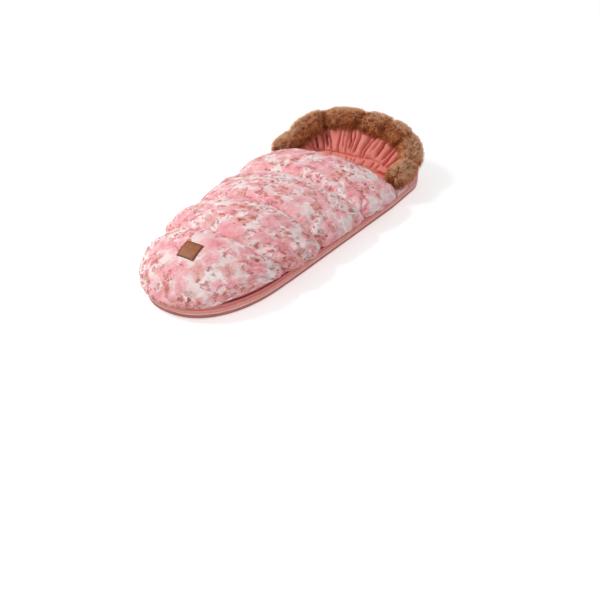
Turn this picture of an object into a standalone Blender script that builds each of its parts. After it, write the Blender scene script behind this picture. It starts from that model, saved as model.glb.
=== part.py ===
"""Stroller sleeping bag: padded back with a low side wall, quilted cover in three
folding panels, two-way zip round the foot, and a gathered hood with a fur rim.

Metres, +Z up. +Y runs from the foot to the head, +X to the right of someone who
looks along +Y. The bag lies flat, and the origin is on its underside, at mid length.
"""
import math

import bmesh
import bpy
from mathutils import Vector

# Plan of the bag. Places along the bag are counted from the foot of the side wall.
ORIGIN_PLACE = 0.530
FOOT_HALF_WIDTH = 0.183
SIDE_WIDENING = 0.039
HEAD_HALF_WIDTH = FOOT_HALF_WIDTH + SIDE_WIDENING
WIDEN_START = 0.270
FOOT_LENGTH = 0.326
HEAD_LENGTH = 0.144
FOOT_PLAN_POWER = 2.3
HEAD_PLAN_POWER = 2.4
END_STEPS = 18

# Puffs of the cover, the seams that part them, and the neckline
FOOT_PANEL = 0.212
SHIN_PANEL = 0.204
THIGH_PANEL = 0.213
CHEST_PANEL = 0.178
ANKLE_SEAM = FOOT_PANEL
KNEE_SEAM = ANKLE_SEAM + SHIN_PANEL
HIP_SEAM = KNEE_SEAM + THIGH_PANEL
NECKLINE = HIP_SEAM + CHEST_PANEL

# Hood, which starts past the neckline and runs round the head end
HOOD_CLEARANCE = 0.025
HOOD_SIDE = 0.099
HOOD_START = NECKLINE + HOOD_CLEARANCE
HEAD_END = HOOD_START + HOOD_SIDE + HEAD_LENGTH

# Fabric and gaps
GAP = 0.0003
LAYER_GAP = 0.0004
SHELL_FABRIC = 0.0014
LINING_FABRIC = 0.0012
PIPING_RADIUS = 0.0027
PIPING_INSET = 0.0012
COIL_RADIUS = 0.0012
COIL_INSET = 0.0016
TAPE_THICKNESS = 0.0010
TAPE_INSET = 0.0004

# Back panel, from the ground up
TRAY_WALL_TOP = 0.0115
TRAY_CORNER = 0.0050
TRAY_CORNER_RUN = 0.0070
TRAY_STEP_RUN = 0.0020
TRAY_STEP_RISE = 0.00125
TRAY_INNER_RUN = 0.0075
TRAY_INNER_RISE = 0.00056
PAD_CORNER_RUN = 0.0085
PAD_STEP_RUN = 0.0040
PAD_STEP_RISE = 0.0015
BACK_PAD_TOP = 0.0140
LINING_CORNER_RUN = 0.0031
LINING_CORNER_RISE = 0.0024
LINING_INNER_RUN = 0.0038
LINING_INNER_RISE = 0.0029
BASE_PIPING_Z = TRAY_WALL_TOP + GAP + PIPING_RADIUS
BAND_BOTTOM = BASE_PIPING_Z + PIPING_RADIUS + GAP
BAND_HEIGHT = 0.0095
BAND_TOP = BAND_BOTTOM + BAND_HEIGHT
BASE_TAPE_HEIGHT = 0.0092
BASE_TAPE_BOTTOM = BAND_TOP + GAP
BASE_TAPE_TOP = BASE_TAPE_BOTTOM + BASE_TAPE_HEIGHT
BASE_COIL_Z = BASE_TAPE_TOP + GAP + COIL_RADIUS
SIDE_PAD_INSET = 0.0020
SIDE_PAD_WIDTH = 0.0070
SIDE_PAD_DROP = 0.0023
SIDE_PAD_TOP = BASE_TAPE_TOP - SIDE_PAD_DROP
PAD_CHAMFER = 0.0012

# Zip and the trim under the cover
COIL_PARTING = 0.0014
COVER_COIL_Z = BASE_COIL_Z + 2 * COIL_RADIUS + COIL_PARTING
COVER_TAPE_BOTTOM = COVER_COIL_Z + COIL_RADIUS + GAP
COVER_TAPE_HEIGHT = 0.0054
COVER_PIPING_Z = COVER_TAPE_BOTTOM + COVER_TAPE_HEIGHT + GAP + PIPING_RADIUS
COVER_RIM = COVER_PIPING_Z + PIPING_RADIUS + GAP
STOP_LENGTH = 0.0040
ZIP_END_MARGIN = 0.0105
ZIP_END = NECKLINE - ZIP_END_MARGIN

# Cover: heights of the seams, and how far each puff rises and swells
ANKLE_HEIGHT = 0.1440
KNEE_HEIGHT = 0.1395
HIP_HEIGHT = 0.1206
NECK_HEIGHT = 0.1206
FOOT_PUFF = 0.0170
SHIN_PUFF = 0.0240
THIGH_PUFF = 0.0250
CHEST_PUFF = 0.0200
FOOT_CREST = 0.1200
PUFF_POWER = 2.2
SEAM_SWELL = 0.0090
SEAM_SAG = 0.0040
PUFF_SWELL = 0.0440
PUFF_SAG = 0.0180
FOOT_SIDE_SWELL = 0.0300
FOOT_SIDE_SAG = 0.0130
TOE_SWELL = 0.0290
TOE_SAG = 0.0310
SWELL_START_DEG = 38
SWELL_LATENESS = 1.7
SECTION_POWER = 1.93
TOE_RISE_POWER = 3.2
COVER_PAD = 0.0080
PAD_FOLLOW_SHARE = 0.30
COVER_COLUMN_SHARES = (0, 0.20, 0.40, 0.58, 0.72, 0.83, 0.92, 1)
FOOT_ROW_SHARES = (0, 0.05, 0.14, 0.30, 0.50, 0.70, 0.87, 0.96)
PUFF_ROW_SHARES = (0, 0.04, 0.13, 0.32, 0.50, 0.68, 0.87, 0.96)

# Folds of the cover: the cloth hinge lies over the seam's valley
FOLD_RISE = 0.0080

# Harness slots through the back
SLOT_HALF_LENGTH = 0.024
SLOT_HALF_WIDTH = 0.0060
SLOT_FLANGE = 0.0030
SLOT_WALL = 0.0012
SLOT_FLANGE_THICKNESS = 0.0010
CROTCH_SLOT_TO_KNEE = 0.016
CROTCH_SLOT = KNEE_SEAM - CROTCH_SLOT_TO_KNEE
SLOTS_TO_NECKLINE = (0.152, 0.092)
SHOULDER_SLOTS = tuple(NECKLINE - distance for distance in SLOTS_TO_NECKLINE)
SHOULDER_SLOT_OFFSET = 0.055
SLOT_POINTS = 12
FIND_ROUNDS = 40

# Hood and its fur rim
FUR_INSET = 0.0206
FUR_HEAD_INSET = 0.0206
FUR_RADIUS = 0.0310
FUR_END_SHARE = 0.72
FUR_CREASE = 0.0050
FUR_LOBES = 7
FUR_SIDE_Z = 0.0830
FUR_TOP_Z = 0.1430
FUR_SEAT = 0.0002
FUR_SIDES = 12
HOOD_SHELL_RIM_INSET = 0.0208
HOOD_SWELL = 0.0015
HOOD_BULGE_SHARE = 0.40
HOOD_SHOULDER_SHARE = 0.84
HOOD_SHOULDER_INSET = 0.0070
HOOD_PAD_SHOULDER_SHARE = 0.80
HOOD_PAD_SHOULDER_INSET = 0.0080
HOOD_PAD_RIM_INSET = 0.0203
HOOD_CROWN_INSET = 0.0364
HOOD_SLOPE_POWER = 0.8
PLEAT_SLACK_SHARE = 0.3
HOOD_FOOT_SIDE = 0.060
HOOD_FOOT_HEAD = 0.115
HOOD_PLEATS = 12
PLEAT_POINTS = 4
PLEAT_DEPTH = 0.0055
ELASTIC_WIDTH = 0.0060
ELASTIC_THICKNESS = 0.0012
ELASTIC_DROP = 0.0020
HOOD_PAD_DROP = ELASTIC_DROP + ELASTIC_THICKNESS + LAYER_GAP

# The hood folds back about a line just outside the head end, over the band
HOOD_HINGE_REACH = 0.0050
HOOD_HINGE_RISE = 0.0023
HOOD_HINGE_PLACE = HEAD_END + HOOD_HINGE_REACH
HOOD_HINGE_Z = BAND_TOP + HOOD_HINGE_RISE

# Zip sliders and their pull tabs
SLIDER_TO_KNEE = 0.011
SLIDER_PLACE = KNEE_SEAM - SLIDER_TO_KNEE
SLIDER_LENGTH = 0.0140
SLIDER_HEIGHT = 0.0096
SLIDER_NOSE = 0.0070
SLIDER_PLATE = 0.0012
SLIDER_BACK_PLATE = 0.0010
SLIDER_TAIL_SHARE = 0.6
SLIDER_NOSE_SHARE = 0.75
SLIDER_JOIN = 0.0005
SLIDER_NECK_LENGTH = 0.0060
BRIDGE_HALF_SPAN = 0.0044
BRIDGE_WIRE = 0.0018
BRIDGE_INNER_HEIGHT = 0.0034
TAB_LENGTH = 0.0260
TAB_WIDTH = 0.0064
TAB_THICKNESS = 0.0014
TAB_WINDOW_LENGTH = 0.0060
TAB_WINDOW_WIDTH = 0.0034
TAB_BAR = 0.0016
TAB_SHOULDER = 0.0208
TAB_TIP_WIDTH = 0.0032

# Leather label on the foot puff
LABEL_SIDE = 0.054
LABEL_PLACE = 0.102
LABEL_THICKNESS = 0.0018
LABEL_LIFT = 0.0010
LABEL_CELLS = 6

CUT_OVERRUN = 0.010
SMOOTH_DEG = 40
CLOTH_SMOOTH_DEG = 60
SIDES = ((-1, "left"), (1, "right"))

COLOURS = {
    "print": ((0.86, 0.55, 0.57), 0.80, 0.0),
    "coral": ((0.72, 0.22, 0.19), 0.75, 0.0),
    "underside": ((0.30, 0.27, 0.28), 0.70, 0.0),
    "wadding": ((0.92, 0.91, 0.88), 0.95, 0.0),
    "fur": ((0.38, 0.18, 0.08), 0.90, 0.0),
    "leather": ((0.36, 0.13, 0.04), 0.55, 0.0),
    "zip": ((0.55, 0.14, 0.13), 0.45, 0.0),
    "elastic": ((0.85, 0.84, 0.82), 0.80, 0.0),
    "metal": ((0.62, 0.60, 0.58), 0.30, 1.0),
}


def clear_scene():
    for obj in list(bpy.data.objects):
        bpy.data.objects.remove(obj, do_unlink=True)


def new_collection(name):
    collection = bpy.data.collections.new(name)
    bpy.context.scene.collection.children.link(collection)
    return collection


def material(node, finish):
    colour, roughness, metallic = COLOURS[finish]
    made = bpy.data.materials.new(node + "_" + finish)
    made.use_nodes = True
    shader = made.node_tree.nodes["Principled BSDF"]
    shader.inputs["Base Color"].default_value = (*colour, 1)
    shader.inputs["Roughness"].default_value = roughness
    shader.inputs["Metallic"].default_value = metallic
    return made


def at(x, place, z):
    """A point from its side offset, its place along the bag and its height."""
    return Vector((x, place - ORIGIN_PLACE, z))


def mesh_object(name, build, finish, collection):
    """An object from a bmesh that the build function has filled."""
    mesh = bpy.data.meshes.new(name)
    bm = bmesh.new()
    build(bm)
    bmesh.ops.recalc_face_normals(bm, faces=bm.faces)
    bm.to_mesh(mesh)
    bm.free()
    if finish:
        mesh.materials.append(material(name, finish))
    obj = bpy.data.objects.new(name, mesh)
    collection.objects.link(obj)
    return obj


def smooth(obj, angle_deg=SMOOTH_DEG):
    obj.data.shade_smooth()
    obj.data.set_sharp_from_angle(angle=math.radians(angle_deg))
    return obj


def loft(bm, rings, path_closed, profile_closed):
    """Skin rings of points. rings[j][i] is profile point j at path point i."""
    verts = [[bm.verts.new(point) for point in ring] for ring in rings]
    rows, steps = len(verts), len(verts[0])
    for j in range(rows if profile_closed else rows - 1):
        for i in range(steps if path_closed else steps - 1):
            a, b = verts[j], verts[(j + 1) % rows]
            k = (i + 1) % steps
            bm.faces.new((a[i], a[k], b[k], b[i]))
    if not profile_closed:
        bm.faces.new(verts[0])
        bm.faces.new(verts[-1])
    if not path_closed:
        bm.faces.new([ring[0] for ring in verts])
        bm.faces.new([ring[-1] for ring in verts])


def slab(bm, outer, inner):
    """A sheet between two grids of points with the same rows and columns."""
    top = [[bm.verts.new(point) for point in row] for row in outer]
    low = [[bm.verts.new(point) for point in row] for row in inner]
    rows, columns = len(top), len(top[0])
    for j in range(rows - 1):
        for i in range(columns - 1):
            for face in (top, low):
                bm.faces.new((face[j][i], face[j][i + 1], face[j + 1][i + 1], face[j + 1][i]))
    edge = [(0, i) for i in range(columns)] + [(j, columns - 1) for j in range(1, rows)]
    edge += [(rows - 1, i) for i in reversed(range(columns - 1))]
    edge += [(j, 0) for j in reversed(range(1, rows - 1))]
    for (j, i), (m, k) in zip(edge, edge[1:] + edge[:1]):
        bm.faces.new((top[j][i], top[m][k], low[m][k], low[j][i]))


def prism(bm, outline, low, high, axis):
    """An outline extruded along X (outline in Y, Z) or along Z (outline in X, Y)."""
    rings = []
    for level in (low, high):
        if axis == "X":
            rings.append([Vector((level, a, b)) for a, b in outline])
        else:
            rings.append([Vector((a, b, level)) for a, b in outline])
    loft(bm, rings, path_closed=True, profile_closed=False)


def cut(obj, cutter, operation="DIFFERENCE"):
    modifier = obj.modifiers.new(operation.lower() + "_" + cutter.name, "BOOLEAN")
    modifier.operation = operation
    modifier.solver = "EXACT"
    modifier.object = cutter


def tube(name, points, radius, finish, collection, cyclic=False, resolution=1):
    """A round cord along points."""
    curve = bpy.data.curves.new(name, "CURVE")
    curve.dimensions = "3D"
    curve.bevel_depth = radius
    curve.bevel_resolution = resolution
    curve.use_fill_caps = not cyclic
    spline = curve.splines.new("POLY")
    spline.points.add(len(points) - 1)
    spline.use_cyclic_u = cyclic
    for spline_point, place in zip(spline.points, points):
        spline_point.co = (*place, 1)
    curve.materials.append(material(name, finish))
    obj = bpy.data.objects.new(name, curve)
    collection.objects.link(obj)
    return obj


def shares(start, end, values):
    """The places at the given shares of the way from start to end."""
    return [start + (end - start) * value for value in values]


def even(start, end, count):
    return shares(start, end, [i / count for i in range(count + 1)])


def signed_power(value, power):
    return math.copysign(abs(value) ** power, value)


def half_width(place):
    """Half the width of the side wall at a place between the two round ends."""
    share = min(max((place - WIDEN_START) / (NECKLINE - WIDEN_START), 0), 1)
    return FOOT_HALF_WIDTH + (HEAD_HALF_WIDTH - FOOT_HALF_WIDTH) * share


def foot_plan(angle, inset):
    """Right side at 0 and left side at pi, round the foot."""
    power = 2 / FOOT_PLAN_POWER
    place = FOOT_LENGTH - (FOOT_LENGTH - inset) * math.sin(angle) ** power
    x = (half_width(place) - inset) * signed_power(math.cos(angle), power)
    return x, place


def head_plan(angle, inset):
    """Right side at 0 and left side at pi, round the head."""
    power = 2 / HEAD_PLAN_POWER
    place = HEAD_END - HEAD_LENGTH + (HEAD_LENGTH - inset) * math.sin(angle) ** power
    x = (HEAD_HALF_WIDTH - inset) * signed_power(math.cos(angle), power)
    return x, place


def side_plan(place, inset, side):
    return side * (half_width(place) - inset), place


def foot_path(inset, end):
    """From the right side, round the foot, to the left side."""
    angles = even(0, math.pi, END_STEPS)
    straight = [FOOT_LENGTH + (end - FOOT_LENGTH) * share for share in (1, 0.5)]
    path = [side_plan(place, inset, 1) for place in straight]
    path += [foot_plan(angle, inset) for angle in angles]
    return path + [side_plan(place, inset, -1) for place in reversed(straight)]


def back_outline(inset):
    """The whole outline of the back, from the left hip round the foot and the head."""
    head_start = HEAD_END - HEAD_LENGTH
    path = foot_path(inset, NECKLINE)[::-1]
    path += [side_plan(head_start, inset, 1)]
    path += [head_plan(angle, inset) for angle in even(0, math.pi, END_STEPS)[1:-1]]
    return path + [side_plan(head_start, inset, -1)]


def outline_rings(profile, path):
    """Rings of a profile of (inset, height) points, carried round a path."""
    return [[at(x, place, z) for x, place in path(inset)] for inset, z in profile]


def puff_height(place, fullness):
    """Height of the cover's ridge at a place, with its puffs scaled by fullness."""
    seams = (0, ANKLE_SEAM, KNEE_SEAM, HIP_SEAM, NECKLINE)
    heights = (ANKLE_HEIGHT, ANKLE_HEIGHT, KNEE_HEIGHT, HIP_HEIGHT, NECK_HEIGHT)
    puffs = (FOOT_PUFF, SHIN_PUFF, THIGH_PUFF, CHEST_PUFF)
    for k in range(4):
        if place <= seams[k + 1] or k == 3:
            share = (place - seams[k]) / (seams[k + 1] - seams[k])
            valley = heights[k] + (heights[k + 1] - heights[k]) * share
            return valley + fullness * puffs[k] * puff_share(place)
    return NECK_HEIGHT


def puff_share(place):
    """0 on a seam and 1 on the crest of a puff."""
    if place <= FOOT_CREST:
        return 1
    if place <= ANKLE_SEAM:
        across = (place - FOOT_CREST) / (ANKLE_SEAM - FOOT_CREST)
    else:
        seams = (ANKLE_SEAM, KNEE_SEAM, HIP_SEAM, NECKLINE)
        k = 0 if place <= KNEE_SEAM else 1 if place <= HIP_SEAM else 2
        across = abs(2 * (place - seams[k]) / (seams[k + 1] - seams[k]) - 1)
    return max(1 - min(across, 1) ** PUFF_POWER, 0) ** (1 / PUFF_POWER)


def cover_point(u, row, layer):
    """A point of a cover layer. u runs from -1 to 1 across the cover, and row is the
    place along the ridge. The rows bend round the foot like the lines of a shell.
    layer is (side depth, top depth, puff fullness)."""
    side_depth, top_depth, fullness = layer
    dx, dy, reach = (math.copysign(1, u), 0, abs(u))
    if row < FOOT_LENGTH:
        v = -2 / math.pi * math.asin(((FOOT_LENGTH - row) / FOOT_LENGTH) ** (SECTION_POWER / 2))
        dx = u * math.sqrt(1 - v * v / 2)
        dy = v * math.sqrt(1 - u * u / 2)
        reach = math.hypot(dx, dy)
        dx, dy = dx / reach, dy / reach
        reach = min(reach, 1)
    turn = reach * math.pi / 2
    power = SECTION_POWER * dx * dx + TOE_RISE_POWER * dy * dy
    spread = math.sin(turn) ** (2 / SECTION_POWER)
    rise = max(math.cos(turn), 0) ** (2 / power)
    plan = (abs(dx) ** FOOT_PLAN_POWER + abs(dy) ** FOOT_PLAN_POWER) ** (-1 / FOOT_PLAN_POWER)
    place = row
    if row < FOOT_LENGTH:
        place = FOOT_LENGTH + (FOOT_LENGTH - side_depth) * plan * dy * spread
    x = (half_width(place) - side_depth) * plan * dx * spread
    start = math.radians(SWELL_START_DEG)
    lean = math.sin(math.pi * min(max((turn - start) / (math.pi / 2 - start), 0), 1) ** SWELL_LATENESS)
    full_swell, full_sag = PUFF_SWELL, PUFF_SAG
    if row < ANKLE_SEAM:
        full_swell = FOOT_SIDE_SWELL * dx * dx + TOE_SWELL * dy * dy
        full_sag = FOOT_SIDE_SAG * dx * dx + TOE_SAG * dy * dy
    swell = (SEAM_SWELL + (full_swell - SEAM_SWELL) * puff_share(row)) * fullness * lean
    sag = (SEAM_SAG + (full_sag - SEAM_SAG) * puff_share(row)) * fullness * lean
    ridge = puff_height(row, fullness) - top_depth
    return at(x + swell * dx, place + swell * dy, COVER_RIM + (ridge - COVER_RIM) * rise - sag)


def cover_grid(rows, layer):
    columns = [-share for share in reversed(COVER_COLUMN_SHARES[1:])] + list(COVER_COLUMN_SHARES)
    return [[cover_point(u, row, layer) for u in columns] for row in rows]


def inset_grid(grid, depth, open_start):
    """The grid moved inwards by a depth, along its own normals. The rows at a seam
    stay in the seam's plane; open_start says that the first row isn't a seam."""
    rows, columns = len(grid), len(grid[0])
    moved = []
    for j in range(rows):
        ring = []
        for i in range(columns):
            normal = Vector()
            for m, n in ((j - 1, i - 1), (j - 1, i), (j, i - 1), (j, i)):
                if 0 <= m < rows - 1 and 0 <= n < columns - 1:
                    across = grid[m + 1][n + 1] - grid[m][n]
                    normal += across.cross(grid[m + 1][n] - grid[m][n + 1]).normalized()
            if j == rows - 1 or (j == 0 and not open_start):
                normal.y = 0
            ring.append(grid[j][i] - depth * normal.normalized())
        moved.append(ring)
    return moved


def cover_panel(prefix, rows, collection):
    """Shell, wadding and lining of one stretch of the cover."""
    open_start = rows[0] == 0
    pad = SHELL_FABRIC + LAYER_GAP
    lining = pad + COVER_PAD + LAYER_GAP
    inner = lining + LINING_FABRIC
    face = cover_grid(rows, (0, 0, 1))
    grids = {
        "shell": (face, inset_grid(face, SHELL_FABRIC, open_start), "print"),
        "wadding": (inset_grid(face, pad, open_start),
                    cover_grid(rows, (pad + COVER_PAD, pad + COVER_PAD, PAD_FOLLOW_SHARE)), "wadding"),
        "lining": (cover_grid(rows, (lining, lining, PAD_FOLLOW_SHARE)),
                   cover_grid(rows, (inner, inner, PAD_FOLLOW_SHARE)), "coral"),
    }
    made = []
    for layer, (outer, under, finish) in grids.items():
        made.append(smooth(mesh_object(prefix + "_" + layer, lambda bm: slab(bm, outer, under), finish,
                                       collection), CLOTH_SMOOTH_DEG))
    return made


def tape_profile(bottom, height):
    inner = TAPE_INSET + TAPE_THICKNESS
    return [(TAPE_INSET, bottom), (TAPE_INSET, bottom + height), (inner, bottom + height), (inner, bottom)]


def foot_trim(prefix, coil_z, tape_bottom, tape_height, end, coil_end, collection):
    """Zip tape and coil that run round the foot."""
    def build(bm):
        rings = outline_rings(tape_profile(tape_bottom, tape_height), lambda inset: foot_path(inset, end))
        loft(bm, rings, path_closed=False, profile_closed=True)
    mesh_object(prefix + "_zip_tape", build, "coral", collection)
    path = [at(x, place, coil_z) for x, place in foot_path(COIL_INSET, coil_end)]
    tube(prefix + "_zip_coil", path, COIL_RADIUS, "zip", collection)


def side_block(bm, profile, side, start, end):
    """A straight piece of one profile along one side of the bag."""
    rings = [[at(*side_plan(place, inset, side), z) for place in (start, end)] for inset, z in profile]
    loft(bm, rings, path_closed=False, profile_closed=True)


def panel_trim(prefix, start, end, coil_end, collection):
    """Straight zip tape, coil and piping on each side of one cover panel."""
    made = []
    profile = tape_profile(COVER_TAPE_BOTTOM, COVER_TAPE_HEIGHT)
    for side, label in SIDES:
        made.append(mesh_object(prefix + "_zip_tape_" + label,
                                lambda bm: side_block(bm, profile, side, start, end), "coral", collection))
        coil = [at(*side_plan(place, COIL_INSET, side), COVER_COIL_Z) for place in (start, coil_end)]
        made.append(tube(prefix + "_zip_coil_" + label, coil, COIL_RADIUS, "zip", collection))
        piping = [at(*side_plan(place, PIPING_INSET, side), COVER_PIPING_Z) for place in (start, end)]
        made.append(tube(prefix + "_piping_" + label, piping, PIPING_RADIUS, "coral", collection))
    return made


def slot_outline(centre_x, centre_place, grow):
    """Outline of one harness slot, grown by a margin."""
    points = []
    radius = SLOT_HALF_WIDTH + grow
    straight = SLOT_HALF_LENGTH - SLOT_HALF_WIDTH
    for k in range(SLOT_POINTS):
        angle = 2 * math.pi * (k + 0.5) / SLOT_POINTS
        x = math.copysign(straight, math.cos(angle)) + radius * math.cos(angle)
        points.append((centre_x + x, centre_place + radius * math.sin(angle)))
    return points


def slot_places():
    """Name and place of each harness slot."""
    places = {"crotch_slot": (0, CROTCH_SLOT)}
    for level, place in zip(("lower", "upper"), SHOULDER_SLOTS):
        for side, label in SIDES:
            places["%s_shoulder_slot_%s" % (level, label)] = (side * SHOULDER_SLOT_OFFSET, place)
    return places


def build_back(parts, cutters):
    """Underside tray, flat pad, side pad, lining tray and outer band."""
    shell = SHELL_FABRIC
    tray = [(TRAY_CORNER_RUN, 0), (TRAY_STEP_RUN, TRAY_STEP_RISE), (0, TRAY_CORNER), (0, TRAY_WALL_TOP),
            (shell, TRAY_WALL_TOP), (shell, TRAY_CORNER + TRAY_INNER_RISE),
            (TRAY_STEP_RUN + shell, TRAY_STEP_RISE + shell), (TRAY_INNER_RUN, shell)]

    pad_low = shell + GAP
    pad_side = shell + LAYER_GAP
    pad_neck = PIPING_INSET + PIPING_RADIUS + 2 * GAP
    pad = [(PAD_CORNER_RUN, pad_low), (PAD_STEP_RUN, pad_low + PAD_STEP_RISE),
           (pad_side, pad_low + TRAY_CORNER), (pad_side, TRAY_WALL_TOP - 2 * GAP),
           (pad_neck + shell, BACK_PAD_TOP)]

    low = BACK_PAD_TOP + GAP
    inner = SIDE_PAD_INSET + SIDE_PAD_WIDTH
    wall = [(pad_neck, low), (pad_neck, BAND_BOTTOM), (SIDE_PAD_INSET, BAND_BOTTOM + PAD_CHAMFER),
            (SIDE_PAD_INSET, SIDE_PAD_TOP - PAD_CHAMFER), (SIDE_PAD_INSET + PAD_CHAMFER, SIDE_PAD_TOP),
            (inner - PAD_CHAMFER, SIDE_PAD_TOP), (inner, SIDE_PAD_TOP - PAD_CHAMFER), (inner, low)]

    face = inner + GAP
    fabric = LINING_FABRIC
    lining_top = SIDE_PAD_TOP - GAP
    lining = [(face + LINING_CORNER_RUN, low), (face, low + LINING_CORNER_RISE), (face, lining_top),
              (face + fabric, lining_top), (face + fabric, low + LINING_INNER_RISE),
              (face + LINING_INNER_RUN, low + fabric)]

    band = [(0, BAND_BOTTOM), (0, BAND_TOP), (shell, BAND_TOP), (shell, BAND_BOTTOM)]

    def closed(profile, solid):
        return lambda bm: loft(bm, outline_rings(profile, back_outline), True, not solid)

    made = {}
    for name, profile, solid, finish in (
            ("back_shell", tray, True, "underside"), ("back_wadding", pad, True, "wadding"),
            ("side_wadding", wall, False, "wadding"), ("back_lining", lining, True, "coral"),
            ("side_band", band, False, "coral")):
        made[name] = smooth(mesh_object(name, closed(profile, solid), finish, parts))
    ring = [at(x, place, BASE_PIPING_Z) for x, place in back_outline(PIPING_INSET)]
    tube("base_piping", ring, PIPING_RADIUS, "coral", parts, cyclic=True)

    floor = low + fabric + GAP
    collar = [(-GAP, GAP), (-GAP, floor), (SLOT_FLANGE, floor), (SLOT_FLANGE, floor + SLOT_FLANGE_THICKNESS),
              (-GAP - SLOT_WALL, floor + SLOT_FLANGE_THICKNESS), (-GAP - SLOT_WALL, GAP)]
    for slot, (x, place) in slot_places().items():
        outline = [(a, b - ORIGIN_PLACE) for a, b in slot_outline(x, place, 0)]
        cutter = mesh_object(slot + "_cutter", lambda bm: prism(bm, outline, -CUT_OVERRUN,
                                                                BACK_PAD_TOP + CUT_OVERRUN, "Z"), None, cutters)
        for name in ("back_shell", "back_wadding", "back_lining"):
            cut(made[name], cutter)
        rings = [[at(a, b, z) for a, b in slot_outline(x, place, grow)] for grow, z in collar]
        mesh_object(slot + "_binding", lambda bm: loft(bm, rings, True, True), "coral", parts)


def hood_path(inset_at):
    """From the right front end, round the head, to the left front end. inset_at gives
    the inset from the share of the way from the sides to the head's end."""
    head_start = HEAD_END - HEAD_LENGTH
    count = HOOD_PLEATS * PLEAT_POINTS
    side_count = (count - 2 * END_STEPS) // 2
    path = []
    for place in even(HOOD_START, head_start, side_count)[:-1]:
        path.append((1, place, 0))
    for angle in even(0, math.pi, count - 2 * side_count):
        path.append((0, angle, math.sin(angle) ** (2 / HEAD_PLAN_POWER)))
    for place in even(head_start, HOOD_START, side_count)[1:]:
        path.append((-1, place, 0))
    points = []
    for side, value, share in path:
        inset = inset_at(share)
        plan = side_plan(value, inset, side) if side else head_plan(value, inset)
        points.append((*plan, share))
    return points


def hood_rings(profile, pleats=None):
    """Rings of a hood layer. A profile point is (inset at the sides, inset at the head,
    height as a function of the rim's height). pleats gives each point's pleat share."""
    rings = []
    for number, (side_inset, head_inset, height) in enumerate(profile):
        path = hood_path(lambda share: side_inset + (head_inset - side_inset) * share)
        ring = []
        for k, (x, place, share) in enumerate(path):
            rim = hood_rim(share)
            lift = 0
            if pleats:
                lift = PLEAT_DEPTH * pleats[number] * math.cos(2 * math.pi * k / PLEAT_POINTS)
            ring.append(at(x, place, height(rim) + lift))
        rings.append(ring)
    return rings


def hood_rim(share):
    """Height of the hood's rim, under the fur."""
    return FUR_SIDE_Z + (FUR_TOP_Z - FUR_SIDE_Z) * share - FUR_RADIUS - FUR_SEAT


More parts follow.
